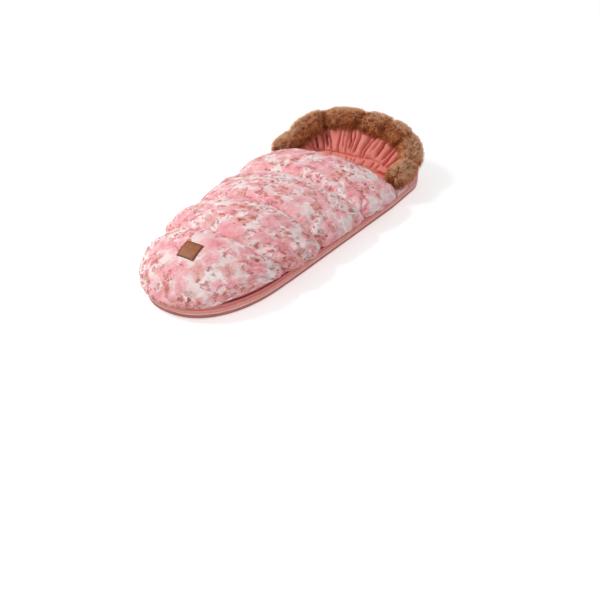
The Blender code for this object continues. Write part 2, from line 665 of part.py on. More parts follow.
def build_hood(parts):
    """Outer fabric, wadding, gathered lining, rim elastic and the fur roll."""
    fabric = SHELL_FABRIC
    low = BAND_TOP + GAP
    rim_inset = HOOD_SHELL_RIM_INSET
    swell = HOOD_SWELL

    def between(bottom, share, drop=0):
        return lambda rim: bottom + (rim - bottom) * share - drop

    bulge, shoulder = HOOD_BULGE_SHARE, HOOD_SHOULDER_SHARE
    shell = [(0, between(low, 0)), (-swell, between(low, bulge)), (HOOD_SHOULDER_INSET, between(low, shoulder)),
             (rim_inset, between(low, 1)), (rim_inset, between(low, 1, fabric)),
             (HOOD_SHOULDER_INSET + fabric, between(low, shoulder, fabric)),
             (fabric - swell, between(low, bulge)), (fabric, between(low, 0))]
    shell = [(inset, inset, height) for inset, height in shell]
    smooth(mesh_object("hood_shell", lambda bm: loft(bm, hood_rings(shell), False, True), "print", parts))

    pad_low = SIDE_PAD_TOP + GAP
    pad_side = fabric + 2 * LAYER_GAP
    floor = BACK_PAD_TOP + GAP + LINING_FABRIC + GAP
    inner_wall = SIDE_PAD_INSET + SIDE_PAD_WIDTH + GAP + LINING_FABRIC + 3 * LAYER_GAP
    pad_floor = floor + LINING_FABRIC + LAYER_GAP
    drop = HOOD_PAD_DROP
    foot = (HOOD_FOOT_SIDE, HOOD_FOOT_HEAD)
    crown = HOOD_CROWN_INSET

    def slope(share, extra):
        """Insets on the sloping inner face, from the rim (0) to the floor (1)."""
        return [crown + (reach - crown) * share + extra for reach in foot]

    def slope_height(share, lift):
        return lambda rim: pad_floor + (rim - drop - pad_floor) * (1 - share) ** HOOD_SLOPE_POWER + lift

    pad_shoulder = HOOD_PAD_SHOULDER_INSET + pad_side
    pad = [(pad_side, pad_side, lambda rim: pad_low),
           (pad_side, pad_side, lambda rim: max(low + (rim - low) * bulge, pad_low + GAP)),
           (pad_shoulder, pad_shoulder, between(low, HOOD_PAD_SHOULDER_SHARE, drop)),
           (HOOD_PAD_RIM_INSET, HOOD_PAD_RIM_INSET, between(low, 1, drop)),
           (crown, crown, between(low, 1, drop)),
           (*slope(0.5, 0), slope_height(0.5, 0)), (*slope(1, 0), lambda rim: pad_floor),
           (inner_wall, inner_wall, lambda rim: pad_floor), (inner_wall, inner_wall, lambda rim: pad_low)]
    pad_pleats = (0, 0, 0, 0, 0, 1, 0, 0, 0)
    smooth(mesh_object("hood_wadding", lambda bm: loft(bm, hood_rings(pad, pad_pleats), False, True),
                       "wadding", parts))

    cloth = LINING_FABRIC
    gap = 3 * LAYER_GAP
    hem = 3 * gap
    loose = gap + PLEAT_SLACK_SHARE * PLEAT_DEPTH
    start = rim_inset + GAP
    lining = [(start, start, between(low, 1)), (crown + gap, crown + gap, between(low, 1, LAYER_GAP)),
              (*slope(0.5, loose + cloth), slope_height(0.5, loose + cloth)),
              (*slope(1, hem + 2 * cloth), lambda rim: floor + cloth),
              (*slope(1, hem + 2 * cloth), lambda rim: floor), (*slope(1, hem), lambda rim: floor),
              (*slope(0.5, loose), slope_height(0.5, loose)),
              (crown, crown, between(low, 1, LAYER_GAP + cloth)), (start, start, between(low, 1, cloth))]
    lining_pleats = (0, 0, 1, 0, 0, 0, 1, 0, 0)
    smooth(mesh_object("hood_lining", lambda bm: loft(bm, hood_rings(lining, lining_pleats), False, True),
                       "coral", parts))

    edge = rim_inset + GAP
    far = edge + ELASTIC_WIDTH
    elastic = [(edge, edge, between(low, 1, ELASTIC_DROP)), (far, far, between(low, 1, ELASTIC_DROP)),
               (far, far, between(low, 1, ELASTIC_DROP + ELASTIC_THICKNESS)),
               (edge, edge, between(low, 1, ELASTIC_DROP + ELASTIC_THICKNESS))]
    mesh_object("hood_elastic", lambda bm: loft(bm, hood_rings(elastic), False, True), "elastic", parts)

    def fur(bm):
        """A roll that lies on the rim, drawn in at the creases between its lobes."""
        path = hood_path(lambda share: FUR_INSET + (FUR_HEAD_INSET - FUR_INSET) * share)
        centres = [at(x, place, hood_rim(share) + FUR_RADIUS + FUR_SEAT) for x, place, share in path]
        rings = []
        for side in range(FUR_SIDES):
            turn = 2 * math.pi * side / FUR_SIDES
            ring = []
            for k, centre in enumerate(centres):
                ahead = centres[min(k + 1, len(centres) - 1)] - centres[max(k - 1, 0)]
                outward = Vector((ahead.y, -ahead.x, 0)).normalized()
                share = k / (len(centres) - 1)
                lobe = abs(math.sin(math.pi * FUR_LOBES * share))
                end = min(share, 1 - share) * len(centres)
                radius = FUR_RADIUS - FUR_CREASE * (1 - lobe) ** 2
                if end < 1:
                    radius *= FUR_END_SHARE
                up = Vector((0, 0, 1))
                ring.append(centre + radius * (math.cos(turn) * outward + math.sin(turn) * up))
            rings.append(ring)
        loft(bm, rings, path_closed=False, profile_closed=True)
    smooth(mesh_object("fur_trim", fur, "fur", parts), CLOTH_SMOOTH_DEG)


def slider_plate_outline(length, height, nose):
    """A plate that narrows towards its nose, in (along, up)."""
    half, high = length / 2, height / 2
    tail, tip = SLIDER_TAIL_SHARE * high, SLIDER_NOSE_SHARE * high
    return [(-half, -tail), (-half, tail), (half - nose, high), (half, tip), (half, -tip), (half - nose, -high)]


def build_slider(side, name, parts, cutters):
    """A zip slider: two plates joined by a neck between the coils, with a bridge that
    holds the pull tab. Local +X points out of the bag for side 1."""
    outer_face = -COIL_INSET + COIL_RADIUS + GAP
    inner_face = -COIL_INSET - COIL_RADIUS - GAP
    outer_plate = (outer_face, outer_face + SLIDER_PLATE)
    inner_plate = (inner_face - SLIDER_BACK_PLATE, inner_face)
    outline = slider_plate_outline(SLIDER_LENGTH, SLIDER_HEIGHT, SLIDER_NOSE)
    neck_high = COIL_PARTING / 2 - GAP
    neck_half = SLIDER_NECK_LENGTH / 2
    neck = [(-neck_half, -neck_high), (-neck_half, neck_high), (neck_half, neck_high), (neck_half, -neck_high)]
    top = outer_plate[1]
    inner = top + BRIDGE_INNER_HEIGHT
    crown = inner + BRIDGE_WIRE
    span = BRIDGE_HALF_SPAN
    post = span - BRIDGE_WIRE
    foot = top - SLIDER_JOIN
    bridge = [(foot, -span), (inner, -span), (crown, -post), (crown, post), (inner, span), (foot, span),
              (foot, post), (inner, post), (inner, -post), (foot, -post)]

    def body(bm):
        prism(bm, outline, side * outer_plate[0], side * outer_plate[1], "X")

    def back(bm):
        prism(bm, outline, side * inner_plate[0], side * inner_plate[1], "X")

    def waist(bm):
        low, high = inner_plate[1] - SLIDER_JOIN, outer_plate[0] + SLIDER_JOIN
        prism(bm, neck, side * low, side * high, "X")

    def loop(bm):
        prism(bm, [(side * a, b) for a, b in bridge], -BRIDGE_WIRE / 2, BRIDGE_WIRE / 2, "Z")

    slider = mesh_object("zip_slider_" + name, body, "metal", parts)
    place = at(*side_plan(SLIDER_PLACE, 0, side), (BASE_COIL_Z + COVER_COIL_Z) / 2)
    slope = (HEAD_HALF_WIDTH - FOOT_HALF_WIDTH) / (NECKLINE - WIDEN_START)
    turn = -side * math.atan(slope)
    slider.location = place
    slider.rotation_euler = (0, 0, turn)
    for piece, build in (("neck", waist), ("back", back), ("bridge", loop)):
        tool = mesh_object("zip_slider_%s_%s" % (name, piece), build, None, cutters)
        tool.location = place
        tool.rotation_euler = (0, 0, turn)
        cut(slider, tool, "UNION")

    bar = top + BRIDGE_INNER_HEIGHT / 2
    hinge = bpy.data.objects.new("pull_tab_hinge_" + name, None)
    parts.objects.link(hinge)
    hinge.location = (side * bar, 0, 0)
    hinge.parent = slider

    wide = TAB_WIDTH / 2
    tip = TAB_TIP_WIDTH / 2
    tab_outline = [(TAB_BAR / 2, -wide), (TAB_BAR / 2, wide), (-TAB_SHOULDER, wide), (-TAB_LENGTH, tip),
                   (-TAB_LENGTH, -tip), (-TAB_SHOULDER, -wide)]
    window_start = -TAB_BAR / 2
    window_end = -TAB_WINDOW_LENGTH
    half_window = TAB_WINDOW_WIDTH / 2
    window = [(window_start, -half_window), (window_start, half_window), (window_end, half_window),
              (window_end, -half_window)]
    thick = TAB_THICKNESS / 2
    tab = mesh_object("pull_tab_" + name, lambda bm: prism(bm, tab_outline, -thick, thick, "X"), "metal", parts)
    tab.parent = hinge
    deep = thick + CUT_OVERRUN
    hole = mesh_object("pull_tab_window_" + name, lambda bm: prism(bm, window, -deep, deep, "X"), None, cutters)
    hole.parent = hinge
    cut(tab, hole)


def build_stops(parts):
    """Small blocks that end the coils at the neckline. Gives those of the cover."""
    cover = []
    start = ZIP_END + GAP
    low, high = COIL_INSET - COIL_RADIUS, COIL_INSET + COIL_RADIUS
    for side, label in SIDES:
        for prefix, z in (("base", BASE_COIL_Z), ("cover", COVER_COIL_Z)):
            bottom, top = z - COIL_RADIUS, z + COIL_RADIUS
            profile = [(low, bottom), (low, top), (high, top), (high, bottom)]
            end = start + STOP_LENGTH
            stop = mesh_object("%s_zip_stop_%s" % (prefix, label),
                               lambda bm: side_block(bm, profile, side, start, end), "metal", parts)
            if prefix == "cover":
                cover.append(stop)
    return cover


def find_on_cover(x, place):
    """The cover's own coordinates of a point seen from above."""
    outer = (0, 0, 1)
    u, row = x / FOOT_HALF_WIDTH, place
    for _ in range(FIND_ROUNDS):
        point = cover_point(u, row, outer)
        u += (x - point.x) / FOOT_HALF_WIDTH
        row += place - ORIGIN_PLACE - point.y
    return u, row


def build_label(parts):
    """A square leather patch that follows the foot puff."""
    outer = (0, 0, 1)
    half = LABEL_SIDE / 2
    centre_row = find_on_cover(0, LABEL_PLACE)[1]
    step = LABEL_SIDE / LABEL_CELLS
    ahead = cover_point(0, centre_row + step, outer) - cover_point(0, centre_row - step, outer)
    tilt = ahead.normalized().y

    def lifted(x, place, height):
        u, row = find_on_cover(x, place)
        nudge = step / FOOT_HALF_WIDTH / 4
        point = cover_point(u, row, outer)
        across = cover_point(u + nudge, row, outer) - cover_point(u - nudge, row, outer)
        along = cover_point(u, row + step / 4, outer) - cover_point(u, row - step / 4, outer)
        return point + height * across.cross(along).normalized()

    def build(bm):
        values = even(-half, half, LABEL_CELLS)
        faces = []
        for height in (LABEL_LIFT + LABEL_THICKNESS, LABEL_LIFT):
            faces.append([[lifted(x, LABEL_PLACE + s * tilt, height) for x in values] for s in values])
        slab(bm, *faces)
    return smooth(mesh_object("leather_label", build, "leather", parts))


def fold_hinge(name, place, height, parent, parts):
    hinge = bpy.data.objects.new(name, None)
    parts.objects.link(hinge)
    world = at(0, place, height)
    hinge.location = world - (parent["world"] if parent else Vector())
    if parent:
        hinge.parent = parent["object"]
    return {"object": hinge, "world": world}


def hang(pieces, hinge):
    """Parent pieces to a hinge and leave them where they are."""
    for piece in pieces:
        piece.parent = hinge["object"]
        piece.location = -hinge["world"]


def main():
    clear_scene()
    parts = new_collection("stroller_sleeping_bag")
    cutters = new_collection("cutters")

    build_back(parts, cutters)
    build_hood(parts)
    cover_stops = build_stops(parts)
    foot_trim("base", BASE_COIL_Z, BASE_TAPE_BOTTOM, BASE_TAPE_HEIGHT, NECKLINE, ZIP_END, parts)

    foot_rows = shares(0, ANKLE_SEAM, FOOT_ROW_SHARES)
    foot_rows += shares(ANKLE_SEAM, KNEE_SEAM, PUFF_ROW_SHARES) + [KNEE_SEAM]
    thigh_rows = shares(KNEE_SEAM, HIP_SEAM, PUFF_ROW_SHARES) + [HIP_SEAM]
    thigh_rows[0] += GAP
    chest_rows = shares(HIP_SEAM, NECKLINE, PUFF_ROW_SHARES) + [NECKLINE]
    chest_rows[0] += GAP

    cover_panel("foot_cover", foot_rows, parts)
    foot_trim("foot_cover", COVER_COIL_Z, COVER_TAPE_BOTTOM, COVER_TAPE_HEIGHT, KNEE_SEAM, KNEE_SEAM, parts)
    piping = [at(x, place, COVER_PIPING_Z) for x, place in foot_path(PIPING_INSET, KNEE_SEAM)]
    tube("foot_cover_piping", piping, PIPING_RADIUS, "coral", parts)

    thigh = cover_panel("thigh_cover", thigh_rows, parts)
    thigh += panel_trim("thigh_cover", KNEE_SEAM + GAP, HIP_SEAM, HIP_SEAM, parts)
    chest = cover_panel("chest_cover", chest_rows, parts)
    chest += panel_trim("chest_cover", HIP_SEAM + GAP, NECKLINE, ZIP_END, parts)
    chest += cover_stops
    build_label(parts)
    for side, label in SIDES:
        build_slider(side, label, parts, cutters)

    thigh_hinge = fold_hinge("thigh_fold_axis", KNEE_SEAM, KNEE_HEIGHT + FOLD_RISE, None, parts)
    chest_hinge = fold_hinge("chest_fold_axis", HIP_SEAM, HIP_HEIGHT + FOLD_RISE, thigh_hinge, parts)
    hood_hinge = fold_hinge("hood_fold_axis", HOOD_HINGE_PLACE, HOOD_HINGE_Z, None, parts)
    hang(thigh, thigh_hinge)
    hang(chest, chest_hinge)
    hood_names = ("hood_shell", "hood_wadding", "hood_lining", "hood_elastic", "fur_trim")
    hang([bpy.data.objects[name] for name in hood_names], hood_hinge)

    for obj in cutters.objects:
        obj.hide_render = True
        obj.display_type = "WIRE"


main()
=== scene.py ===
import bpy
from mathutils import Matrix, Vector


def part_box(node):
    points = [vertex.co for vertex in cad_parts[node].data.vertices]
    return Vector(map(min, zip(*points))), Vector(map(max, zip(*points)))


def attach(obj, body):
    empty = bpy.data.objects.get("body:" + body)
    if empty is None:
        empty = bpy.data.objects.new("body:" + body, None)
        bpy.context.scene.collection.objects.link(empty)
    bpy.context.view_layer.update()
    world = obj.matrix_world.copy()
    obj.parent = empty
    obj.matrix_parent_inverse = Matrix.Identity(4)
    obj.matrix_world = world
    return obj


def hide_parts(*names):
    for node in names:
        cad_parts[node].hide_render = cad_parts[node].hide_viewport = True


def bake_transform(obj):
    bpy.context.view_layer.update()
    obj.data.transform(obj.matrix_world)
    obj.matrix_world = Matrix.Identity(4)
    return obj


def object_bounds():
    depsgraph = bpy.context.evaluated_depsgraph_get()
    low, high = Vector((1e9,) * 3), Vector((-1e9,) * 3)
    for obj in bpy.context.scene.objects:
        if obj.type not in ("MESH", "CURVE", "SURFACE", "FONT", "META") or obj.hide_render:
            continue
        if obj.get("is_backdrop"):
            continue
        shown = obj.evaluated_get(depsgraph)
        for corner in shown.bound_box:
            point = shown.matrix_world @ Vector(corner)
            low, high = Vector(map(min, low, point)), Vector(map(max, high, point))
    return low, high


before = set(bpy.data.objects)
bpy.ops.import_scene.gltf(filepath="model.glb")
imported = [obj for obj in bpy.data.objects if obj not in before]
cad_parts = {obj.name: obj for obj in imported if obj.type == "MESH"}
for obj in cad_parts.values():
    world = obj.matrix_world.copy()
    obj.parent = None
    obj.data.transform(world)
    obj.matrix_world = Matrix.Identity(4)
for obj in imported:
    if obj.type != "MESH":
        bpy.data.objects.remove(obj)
cadBounds = [list(corner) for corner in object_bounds()]

import math

import bmesh
import bpy
import numpy as np
from mathutils import Vector
from mathutils.bvhtree import BVHTree

scene = bpy.context.scene

# Places along the bag are counted in metres along +Y, from the foot (low) to the head (high)
shellLow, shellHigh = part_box("back_shell")
footEnd, headEnd = shellLow.y, shellHigh.y
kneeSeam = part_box("foot_cover_shell")[1].y
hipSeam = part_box("thigh_cover_shell")[1].y
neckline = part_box("chest_cover_shell")[1].y
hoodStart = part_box("hood_shell")[0].y
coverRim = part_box("foot_cover_piping")[1].z + 0.0003

bag = {
    "footHalfWidth": 0.183, "headHalfWidth": shellHigh.x,
    "footLength": 0.326, "headLength": 0.144,     # how long the two round ends are
    "footPower": 2.3, "headPower": 2.4,           # 2 is an ellipse, more is squarer
    "widenStart": -0.260,
}


def report(words):
    print("scene:", words)


# Camera
camera = {"turn": 31.9, "height": 33.125, "distance": 2.7198, "aim": (0.3231, -0.413, 0.090), "lens": 66.0}


def makeCamera():
    turn, rise = math.radians(camera["turn"]), math.radians(camera["height"])
    back = Vector((math.sin(turn) * math.cos(rise), -math.cos(turn) * math.cos(rise), math.sin(rise)))
    lens = bpy.data.cameras.new("camera")
    lens.lens, lens.sensor_width = camera["lens"], 36
    holder = bpy.data.objects.new("camera", lens)
    holder.location = Vector(camera["aim"]) + back * camera["distance"]
    holder.rotation_euler = back.to_track_quat("Z", "Y").to_euler()
    scene.collection.objects.link(holder)
    scene.camera = holder


makeCamera()
report("camera placed")


# Small tools for shapes
def unit(vectors):
    return vectors / np.maximum(np.linalg.norm(vectors, axis=-1, keepdims=True), 1e-12)


def smoothStep(low, high, value):
    share = np.clip((value - low) / (high - low), 0, 1)
    return share * share * (3 - 2 * share)


def valueNoise(places, seed, octaves=3):
    # smooth noise of 1 or 2 coordinates, about -1 to 1
    places = np.atleast_2d(np.asarray(places, float).T).T
    total, weight = 0.0, 1.0
    for octave in range(octaves):
        table = np.random.default_rng(seed + 31 * octave).uniform(-1, 1, (256, 256))
        x = places[..., 0] * 2 ** octave + 17.3 * octave
        y = (places[..., 1] if places.shape[-1] > 1 else 0 * x) * 2 ** octave + 5.1 * octave
        i, j = np.floor(x).astype(int), np.floor(y).astype(int)
        a, b = smoothStep(0, 1, x - i), smoothStep(0, 1, y - j)
        corner = lambda p, q: table[(i + p) % 256, (j + q) % 256]
        total = total + weight * ((corner(0, 0) * (1 - a) + corner(1, 0) * a) * (1 - b)
                                  + (corner(0, 1) * (1 - a) + corner(1, 1) * a) * b)
        weight *= 0.5
    return total


def lengthAlong(path):
    # how far along a path each of its points lies
    return np.concatenate([[0], np.cumsum(np.linalg.norm(np.diff(path, axis=0), axis=1))])


def pointsAt(places, along, points):
    # the points at some places along a path
    return np.stack([np.interp(places, along, points[:, k]) for k in range(points.shape[1])], 1)


def resample(path, step):
    # even steps along a path of points; gives the points and how far along each one is
    path = np.asarray(path, float)
    along = lengthAlong(path)
    places = np.linspace(0, along[-1], int(round(along[-1] / step)) + 1)
    return pointsAt(places, along, path), places


def upsample(grid, times):
    # a finer grid of points on smooth curves through a coarse one
    for axis in (0, 1):
        grid = np.swapaxes(grid, 0, axis)
        count = len(grid)
        padded = np.concatenate([2 * grid[:1] - grid[1:2], grid, 2 * grid[-1:] - grid[-2:-1]])
        places = np.linspace(0, count - 1, (count - 1) * times + 1)
        k = np.minimum(places.astype(int), count - 2)
        t = (places - k).reshape(-1, *([1] * (grid.ndim - 1)))
        a, b, c, d = padded[k], padded[k + 1], padded[k + 2], padded[k + 3]
        second, third = 2 * a - 5 * b + 4 * c - d, 3 * b - a - 3 * c + d
        grid = 0.5 * (2 * b + (c - a) * t + second * t ** 2 + third * t ** 3)
        grid = np.swapaxes(grid, 0, axis)
    return grid


def gridNormals(grid):
    return unit(np.cross(np.gradient(grid, axis=1), np.gradient(grid, axis=0)))


def makeMesh(name, points, faces, places=None):
    # places is a flat (x, y) in metres for each point, kept as the mesh's UV map
    mesh = bpy.data.meshes.new(name)
    mesh.from_pydata(np.asarray(points, float).tolist(), [], [list(map(int, face)) for face in faces])
    if places is not None:
        corners = np.zeros(len(mesh.loops), int)
        mesh.loops.foreach_get("vertex_index", corners)
        layer = mesh.uv_layers.new(name="clothPlace")
        layer.data.foreach_set("uv", np.asarray(places, float)[corners].astype(np.float32).ravel())
    mesh.validate()
    mesh.shade_smooth()
    piece = bpy.data.objects.new(name, mesh)
    scene.collection.objects.link(piece)
    return piece


def gridFaces(rows, columns, loopRows=False, loopColumns=False, start=0):
    j = np.arange(rows if loopRows else rows - 1)
    i = np.arange(columns if loopColumns else columns - 1)
    j, i = np.meshgrid(j, i, indexing="ij")
    k, m = (j + 1) % rows, (i + 1) % columns
    corners = [j * columns + i, j * columns + m, k * columns + m, k * columns + i]
    return (start + np.stack(corners, -1)).reshape(-1, 4)


def edgeLoop(rows, columns):
    # the numbers of a grid's edge points, once round
    loop = [(0, i) for i in range(columns)] + [(j, columns - 1) for j in range(1, rows)]
    loop += [(rows - 1, i) for i in reversed(range(columns - 1))]
    loop += [(j, 0) for j in reversed(range(1, rows - 1))]
    return [j * columns + i for j, i in loop]


def copiesOf(faces, count, stride):
    # the faces of one small form, once for each of its copies
    faces = np.array(faces)
    return ((np.arange(count) * stride)[:, None, None] + faces).reshape(-1, faces.shape[1]).tolist()


def closedSheet(name, top, low, places, flip=False):
    # two grids and a rim between them, as one closed skin
    rows, columns = top.shape[:2]
    count, edge = rows * columns, edgeLoop(rows, columns)
    faces = gridFaces(rows, columns).tolist() + gridFaces(rows, columns, start=count)[:, ::-1].tolist()
    faces += [(b, a, count + a, count + b) for a, b in zip(edge, edge[1:] + edge[:1])]
    if flip:
        faces = [face[::-1] for face in faces]
    flat = places.reshape(-1, 2)
    points = np.concatenate([top.reshape(-1, 3), low.reshape(-1, 3)])
    return makeMesh(name, points, faces, np.concatenate([flat, flat]))


def cloth(name, grid, thickness, places, flip=False):
    under = grid - gridNormals(grid) * (-1 if flip else 1) * thickness
    return closedSheet(name, grid, under, places, flip)


def ringLoft(name, rings, loopPath, places=None):
    # rings[j] is the path of profile point j; the profile closes on itself
    rows, columns = rings.shape[:2]
    faces = gridFaces(rows, columns, True, loopPath).tolist()
    if not loopPath:
        faces.append([j * columns for j in range(rows)])
        faces.append([j * columns + columns - 1 for j in reversed(range(rows))])
    places = None if places is None else places.reshape(-1, 2)
    return tidyNormals(makeMesh(name, rings.reshape(-1, 3), faces, places))


def flatPlaces(grid):
    # how far across and along each point of a grid lies on the cloth itself
    across = np.linalg.norm(np.diff(grid, axis=1), axis=2)
    along = np.linalg.norm(np.diff(grid, axis=0), axis=2)
    x = np.concatenate([np.zeros((len(grid), 1)), np.cumsum(across, 1)], 1)
    x -= x[:, [grid.shape[1] // 2]]
    y = np.concatenate([np.zeros((1, grid.shape[1])), np.cumsum(along, 0)], 0)
    return np.stack([x, y], -1)


def tidyNormals(piece):
    work = bmesh.new()
    work.from_mesh(piece.data)
    bmesh.ops.recalc_face_normals(work, faces=work.faces)
    work.to_mesh(piece.data)
    work.free()
    return piece


def keepValues(piece, name, values):
    # a number on each point of a mesh, for its material to read
    layer = piece.data.attributes.new(name, "FLOAT", "POINT")
    layer.data.foreach_set("value", np.asarray(values, np.float32))


# The thigh's and the chest's pieces lie across a fold of the cover: its bodies, line, height and width; here
# they are only left in place
coverFolds = {
    "thigh": {"bodies": ("bag", "thigh_panel"), "line": kneeSeam, "height": 0.1475, "width": 0.070},
    "chest": {"bodies": ("thigh_panel", "chest_panel"), "line": hipSeam, "height": 0.1286, "width": 0.065},
}


def dress(piece, finish, solids, mover):
    # a piece gets its finish and hides the solids that it stands for; it is bound to the body that it moves
    # with, and the thigh's and the chest's pieces are only left in place
    piece.data.materials.clear()
    piece.data.materials.append(finish)
    if solids:
        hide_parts(*solids)
    if mover in coverFolds:
        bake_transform(piece)
    else:
        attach(piece, "bag" if mover == "foot" else mover)
    return piece


# Plan of the bag
def halfWidth(y):
    share = np.clip((y - bag["widenStart"]) / (neckline - bag["widenStart"]), 0, 1)
    return bag["footHalfWidth"] + (bag["headHalfWidth"] - bag["footHalfWidth"]) * share


def arcAngles(count=240):
    # closer together near the sides, where the round end runs straight
    return np.pi * (0.5 - 0.5 * np.cos(np.linspace(0, np.pi, count)))


def endArc(end, reach, power):
    # a round end of the bag seen from above, from its right side to its left
    angles = arcAngles()
    y = end + reach * (1 - np.sin(angles) ** (2 / power))
    return np.stack([halfWidth(y) * np.sign(np.cos(angles)) * np.abs(np.cos(angles)) ** (2 / power), y], 1)


def footPath(end, step):
    # from the right side at a place, round the foot, to the left side
    right = np.array([[halfWidth(end), end]])
    foot = endArc(footEnd, bag["footLength"], bag["footPower"])
    return resample(np.concatenate([right, foot, right * (-1, 1)]), step)[0]


def wholePath(step):
    foot = endArc(footEnd, bag["footLength"], bag["footPower"])[::-1]
    head = endArc(headEnd, -bag["headLength"], bag["headPower"])
    right = np.array([[halfWidth(neckline), neckline]])
    return resample(np.concatenate([foot, right, head, right * (-1, 1), foot[:1]]), step)[0][:-1]


def discPlaces(u, v):
    # a square grid drawn onto a disc: the direction of each point and how far out it is
    dx, dy = u * np.sqrt(1 - v * v / 2), v * np.sqrt(1 - u * u / 2)
    reach = np.hypot(dx, dy)
    far = np.maximum(reach, 1e-9)
    return np.where(reach < 1e-9, 1, dx / far), dy / far, reach


def rimDistance(dx, dy, power):
    # how far the rim of a round end lies in a direction
    return (np.abs(dx) ** power + np.abs(dy) ** power) ** (-1 / power)


def sideways(path, loop):
    # outward direction at each point of a path seen from above
    if loop:
        ahead = np.roll(path, -1, 0) - np.roll(path, 1, 0)
    else:
        ahead = np.gradient(path, axis=0)
    out = unit(np.stack([ahead[:, 1], -ahead[:, 0]], 1))
    middle = np.array([0, path[:, 1].mean()])
    return out * (1 if np.mean(np.sum(out * (path - middle), 1)) > 0 else -1)


def sweep(path, outward, profile):
    # rings of a profile of (how far in, height) along a path
    return np.array([np.column_stack([path - outward * inset, np.full(len(path), height)])
                     for inset, height in profile])


# Finishes. Colours are written as they look, in ordinary screen values
def colour(red, green, blue):
    straight = [value / 255 for value in (red, green, blue)]
    return tuple(v / 12.92 if v <= 0.04045 else ((v + 0.055) / 1.055) ** 2.4 for v in straight) + (1.0,)


class Nodes:
    # a node tree whose nodes are added by short calls
    def __init__(self, tree):
        self.tree = tree

    def fill(self, socket, value):
        if isinstance(value, bpy.types.NodeSocket):
            self.tree.links.new(value, socket)
        else:
            socket.default_value = value

    def add(self, kind, settings=None, sockets=None):
        made = self.tree.nodes.new("ShaderNode" + kind)
        for key, value in (settings or {}).items():
            setattr(made, key, value)
        for key, value in (sockets or {}).items():
            self.fill(made.inputs[key], value)
        return made.outputs

    def math(self, operation, *values):
        return self.add("Math", {"operation": operation}, dict(enumerate(values)))[0]

    def vector(self, operation, *values):
        return self.add("VectorMath", {"operation": operation}, dict(enumerate(values)))

    def times(self, product, *values):
        for value in values:
            product = self.math("MULTIPLY", product, value)
        return product

    def step(self, value, low, high):
        return self.add("MapRange", {"interpolation_type": "SMOOTHSTEP"},
                        {"Value": value, "From Min": low, "From Max": high})["Result"]

    def mix(self, factor, first, second):
        return self.add("Mix", {"data_type": "RGBA"}, {0: factor, 6: first, 7: second})[2]

    def lay(self, under, over, *shares):
        # one colour over another, by a product of shares
        return self.mix(self.times(*shares), under, over)


class Finish(Nodes):
    # a material with one shader
    def __init__(self, name, base=(0.8, 0.8, 0.8, 1), roughness=0.8, metallic=0.0, sheen=0.0, sheenTint=None):
        self.material = bpy.data.materials.new(name)
        self.material.use_nodes = True
        super().__init__(self.material.node_tree)
        self.sockets = self.tree.nodes["Principled BSDF"].inputs
        values = {"Base Color": base, "Roughness": roughness, "Metallic": metallic, "Specular IOR Level": 0.3}
        if sheen:
            values.update({"Sheen Weight": sheen, "Sheen Roughness": 0.45, "Sheen Tint": sheenTint or base})
        for key, value in values.items():
            self.sockets[key].default_value = value

    def noise(self, place, scale, detail=2.0, roughness=0.5, distortion=0.0, flat=True):
        sockets = {"Vector": place, "Scale": scale, "Detail": detail, "Roughness": roughness,
                   "Distortion": distortion}
        return self.add("TexNoise", {"noise_dimensions": "2D" if flat else "3D"}, sockets)[0]

    def cells(self, place, size, randomness):
        return self.add("TexVoronoi", {"voronoi_dimensions": "2D"},
                        {"Vector": place, "Scale": 1 / size, "Randomness": randomness})

    def bands(self, place, size, direction):
        # stripes, one per size, as a wave from 0 to 1
        return self.add("TexWave", {"wave_type": "BANDS", "bands_direction": direction},
                        {"Vector": place, "Scale": math.pi / 10 / size, "Distortion": 0.0})["Fac"]

    def kept(self, name):
        return self.add("Attribute", {"attribute_name": name})["Fac"]

    def clothPlace(self):
        return self.add("UVMap", {"uv_map": "clothPlace"})[0]

    def objectPlace(self):
        return self.add("TexCoord")["Object"]

    def paint(self, value):
        self.fill(self.sockets["Base Color"], value)

    def bump(self, height, distance, strength, under=None):
        sockets = {"Strength": strength, "Distance": distance, "Height": height}
        if under is not None:
            sockets["Normal"] = under
        made = self.add("Bump", None, sockets)[0]
        self.fill(self.sockets["Normal"], made)
        return made


def weave(finish, place, size, depth):
    # over and under threads as a bump, with a soft unevenness below them; the cloths also paint a highlight
    # on the raised threads
    threads = finish.times(finish.bands(place, size, "X"), finish.bands(place, size, "Y"))
    soft = finish.bump(finish.noise(place, 170.0, 3.0, 0.6), 0.0004, 0.5)
    finish.bump(threads, depth, 0.6, soft)
    return threads


# Printed cover cloth: a generic watercolour blossom all-over
printCloth = {
    "colours": {
        "ground": (243, 220, 218), "cloud": (242, 196, 200), "white": (250, 240, 237),
        "wash": (248, 164, 172), "pink": (242, 138, 150), "rose": (216, 88, 106), "deepRose": (186, 56, 82),
        "rust": (192, 90, 80), "peach": (240, 170, 150), "heart": (152, 48, 58), "leaf": (190, 120, 108),
    },
    "large": {"size": 0.082, "petals": 5, "reach": 0.54, "seed": 3, "soft": 0.30},
    "middle": {"size": 0.052, "petals": 5, "reach": 0.52, "seed": 11, "soft": 0.22},
    "small": {"size": 0.031, "petals": 5, "reach": 0.50, "seed": 23, "soft": 0.25},
    "leaf": {"size": 0.020, "petals": 2, "reach": 0.50, "seed": 41, "soft": 0.3},
    "speck": {"size": 0.0115, "petals": 4, "reach": 0.42, "seed": 57, "soft": 0.4},
    "strength": {"large": 0.74, "middle": 0.78, "small": 0.80, "leaf": 0.74, "speck": 0.74},
    "weaveSize": 0.0006, "weaveDepth": 0.00012,
}


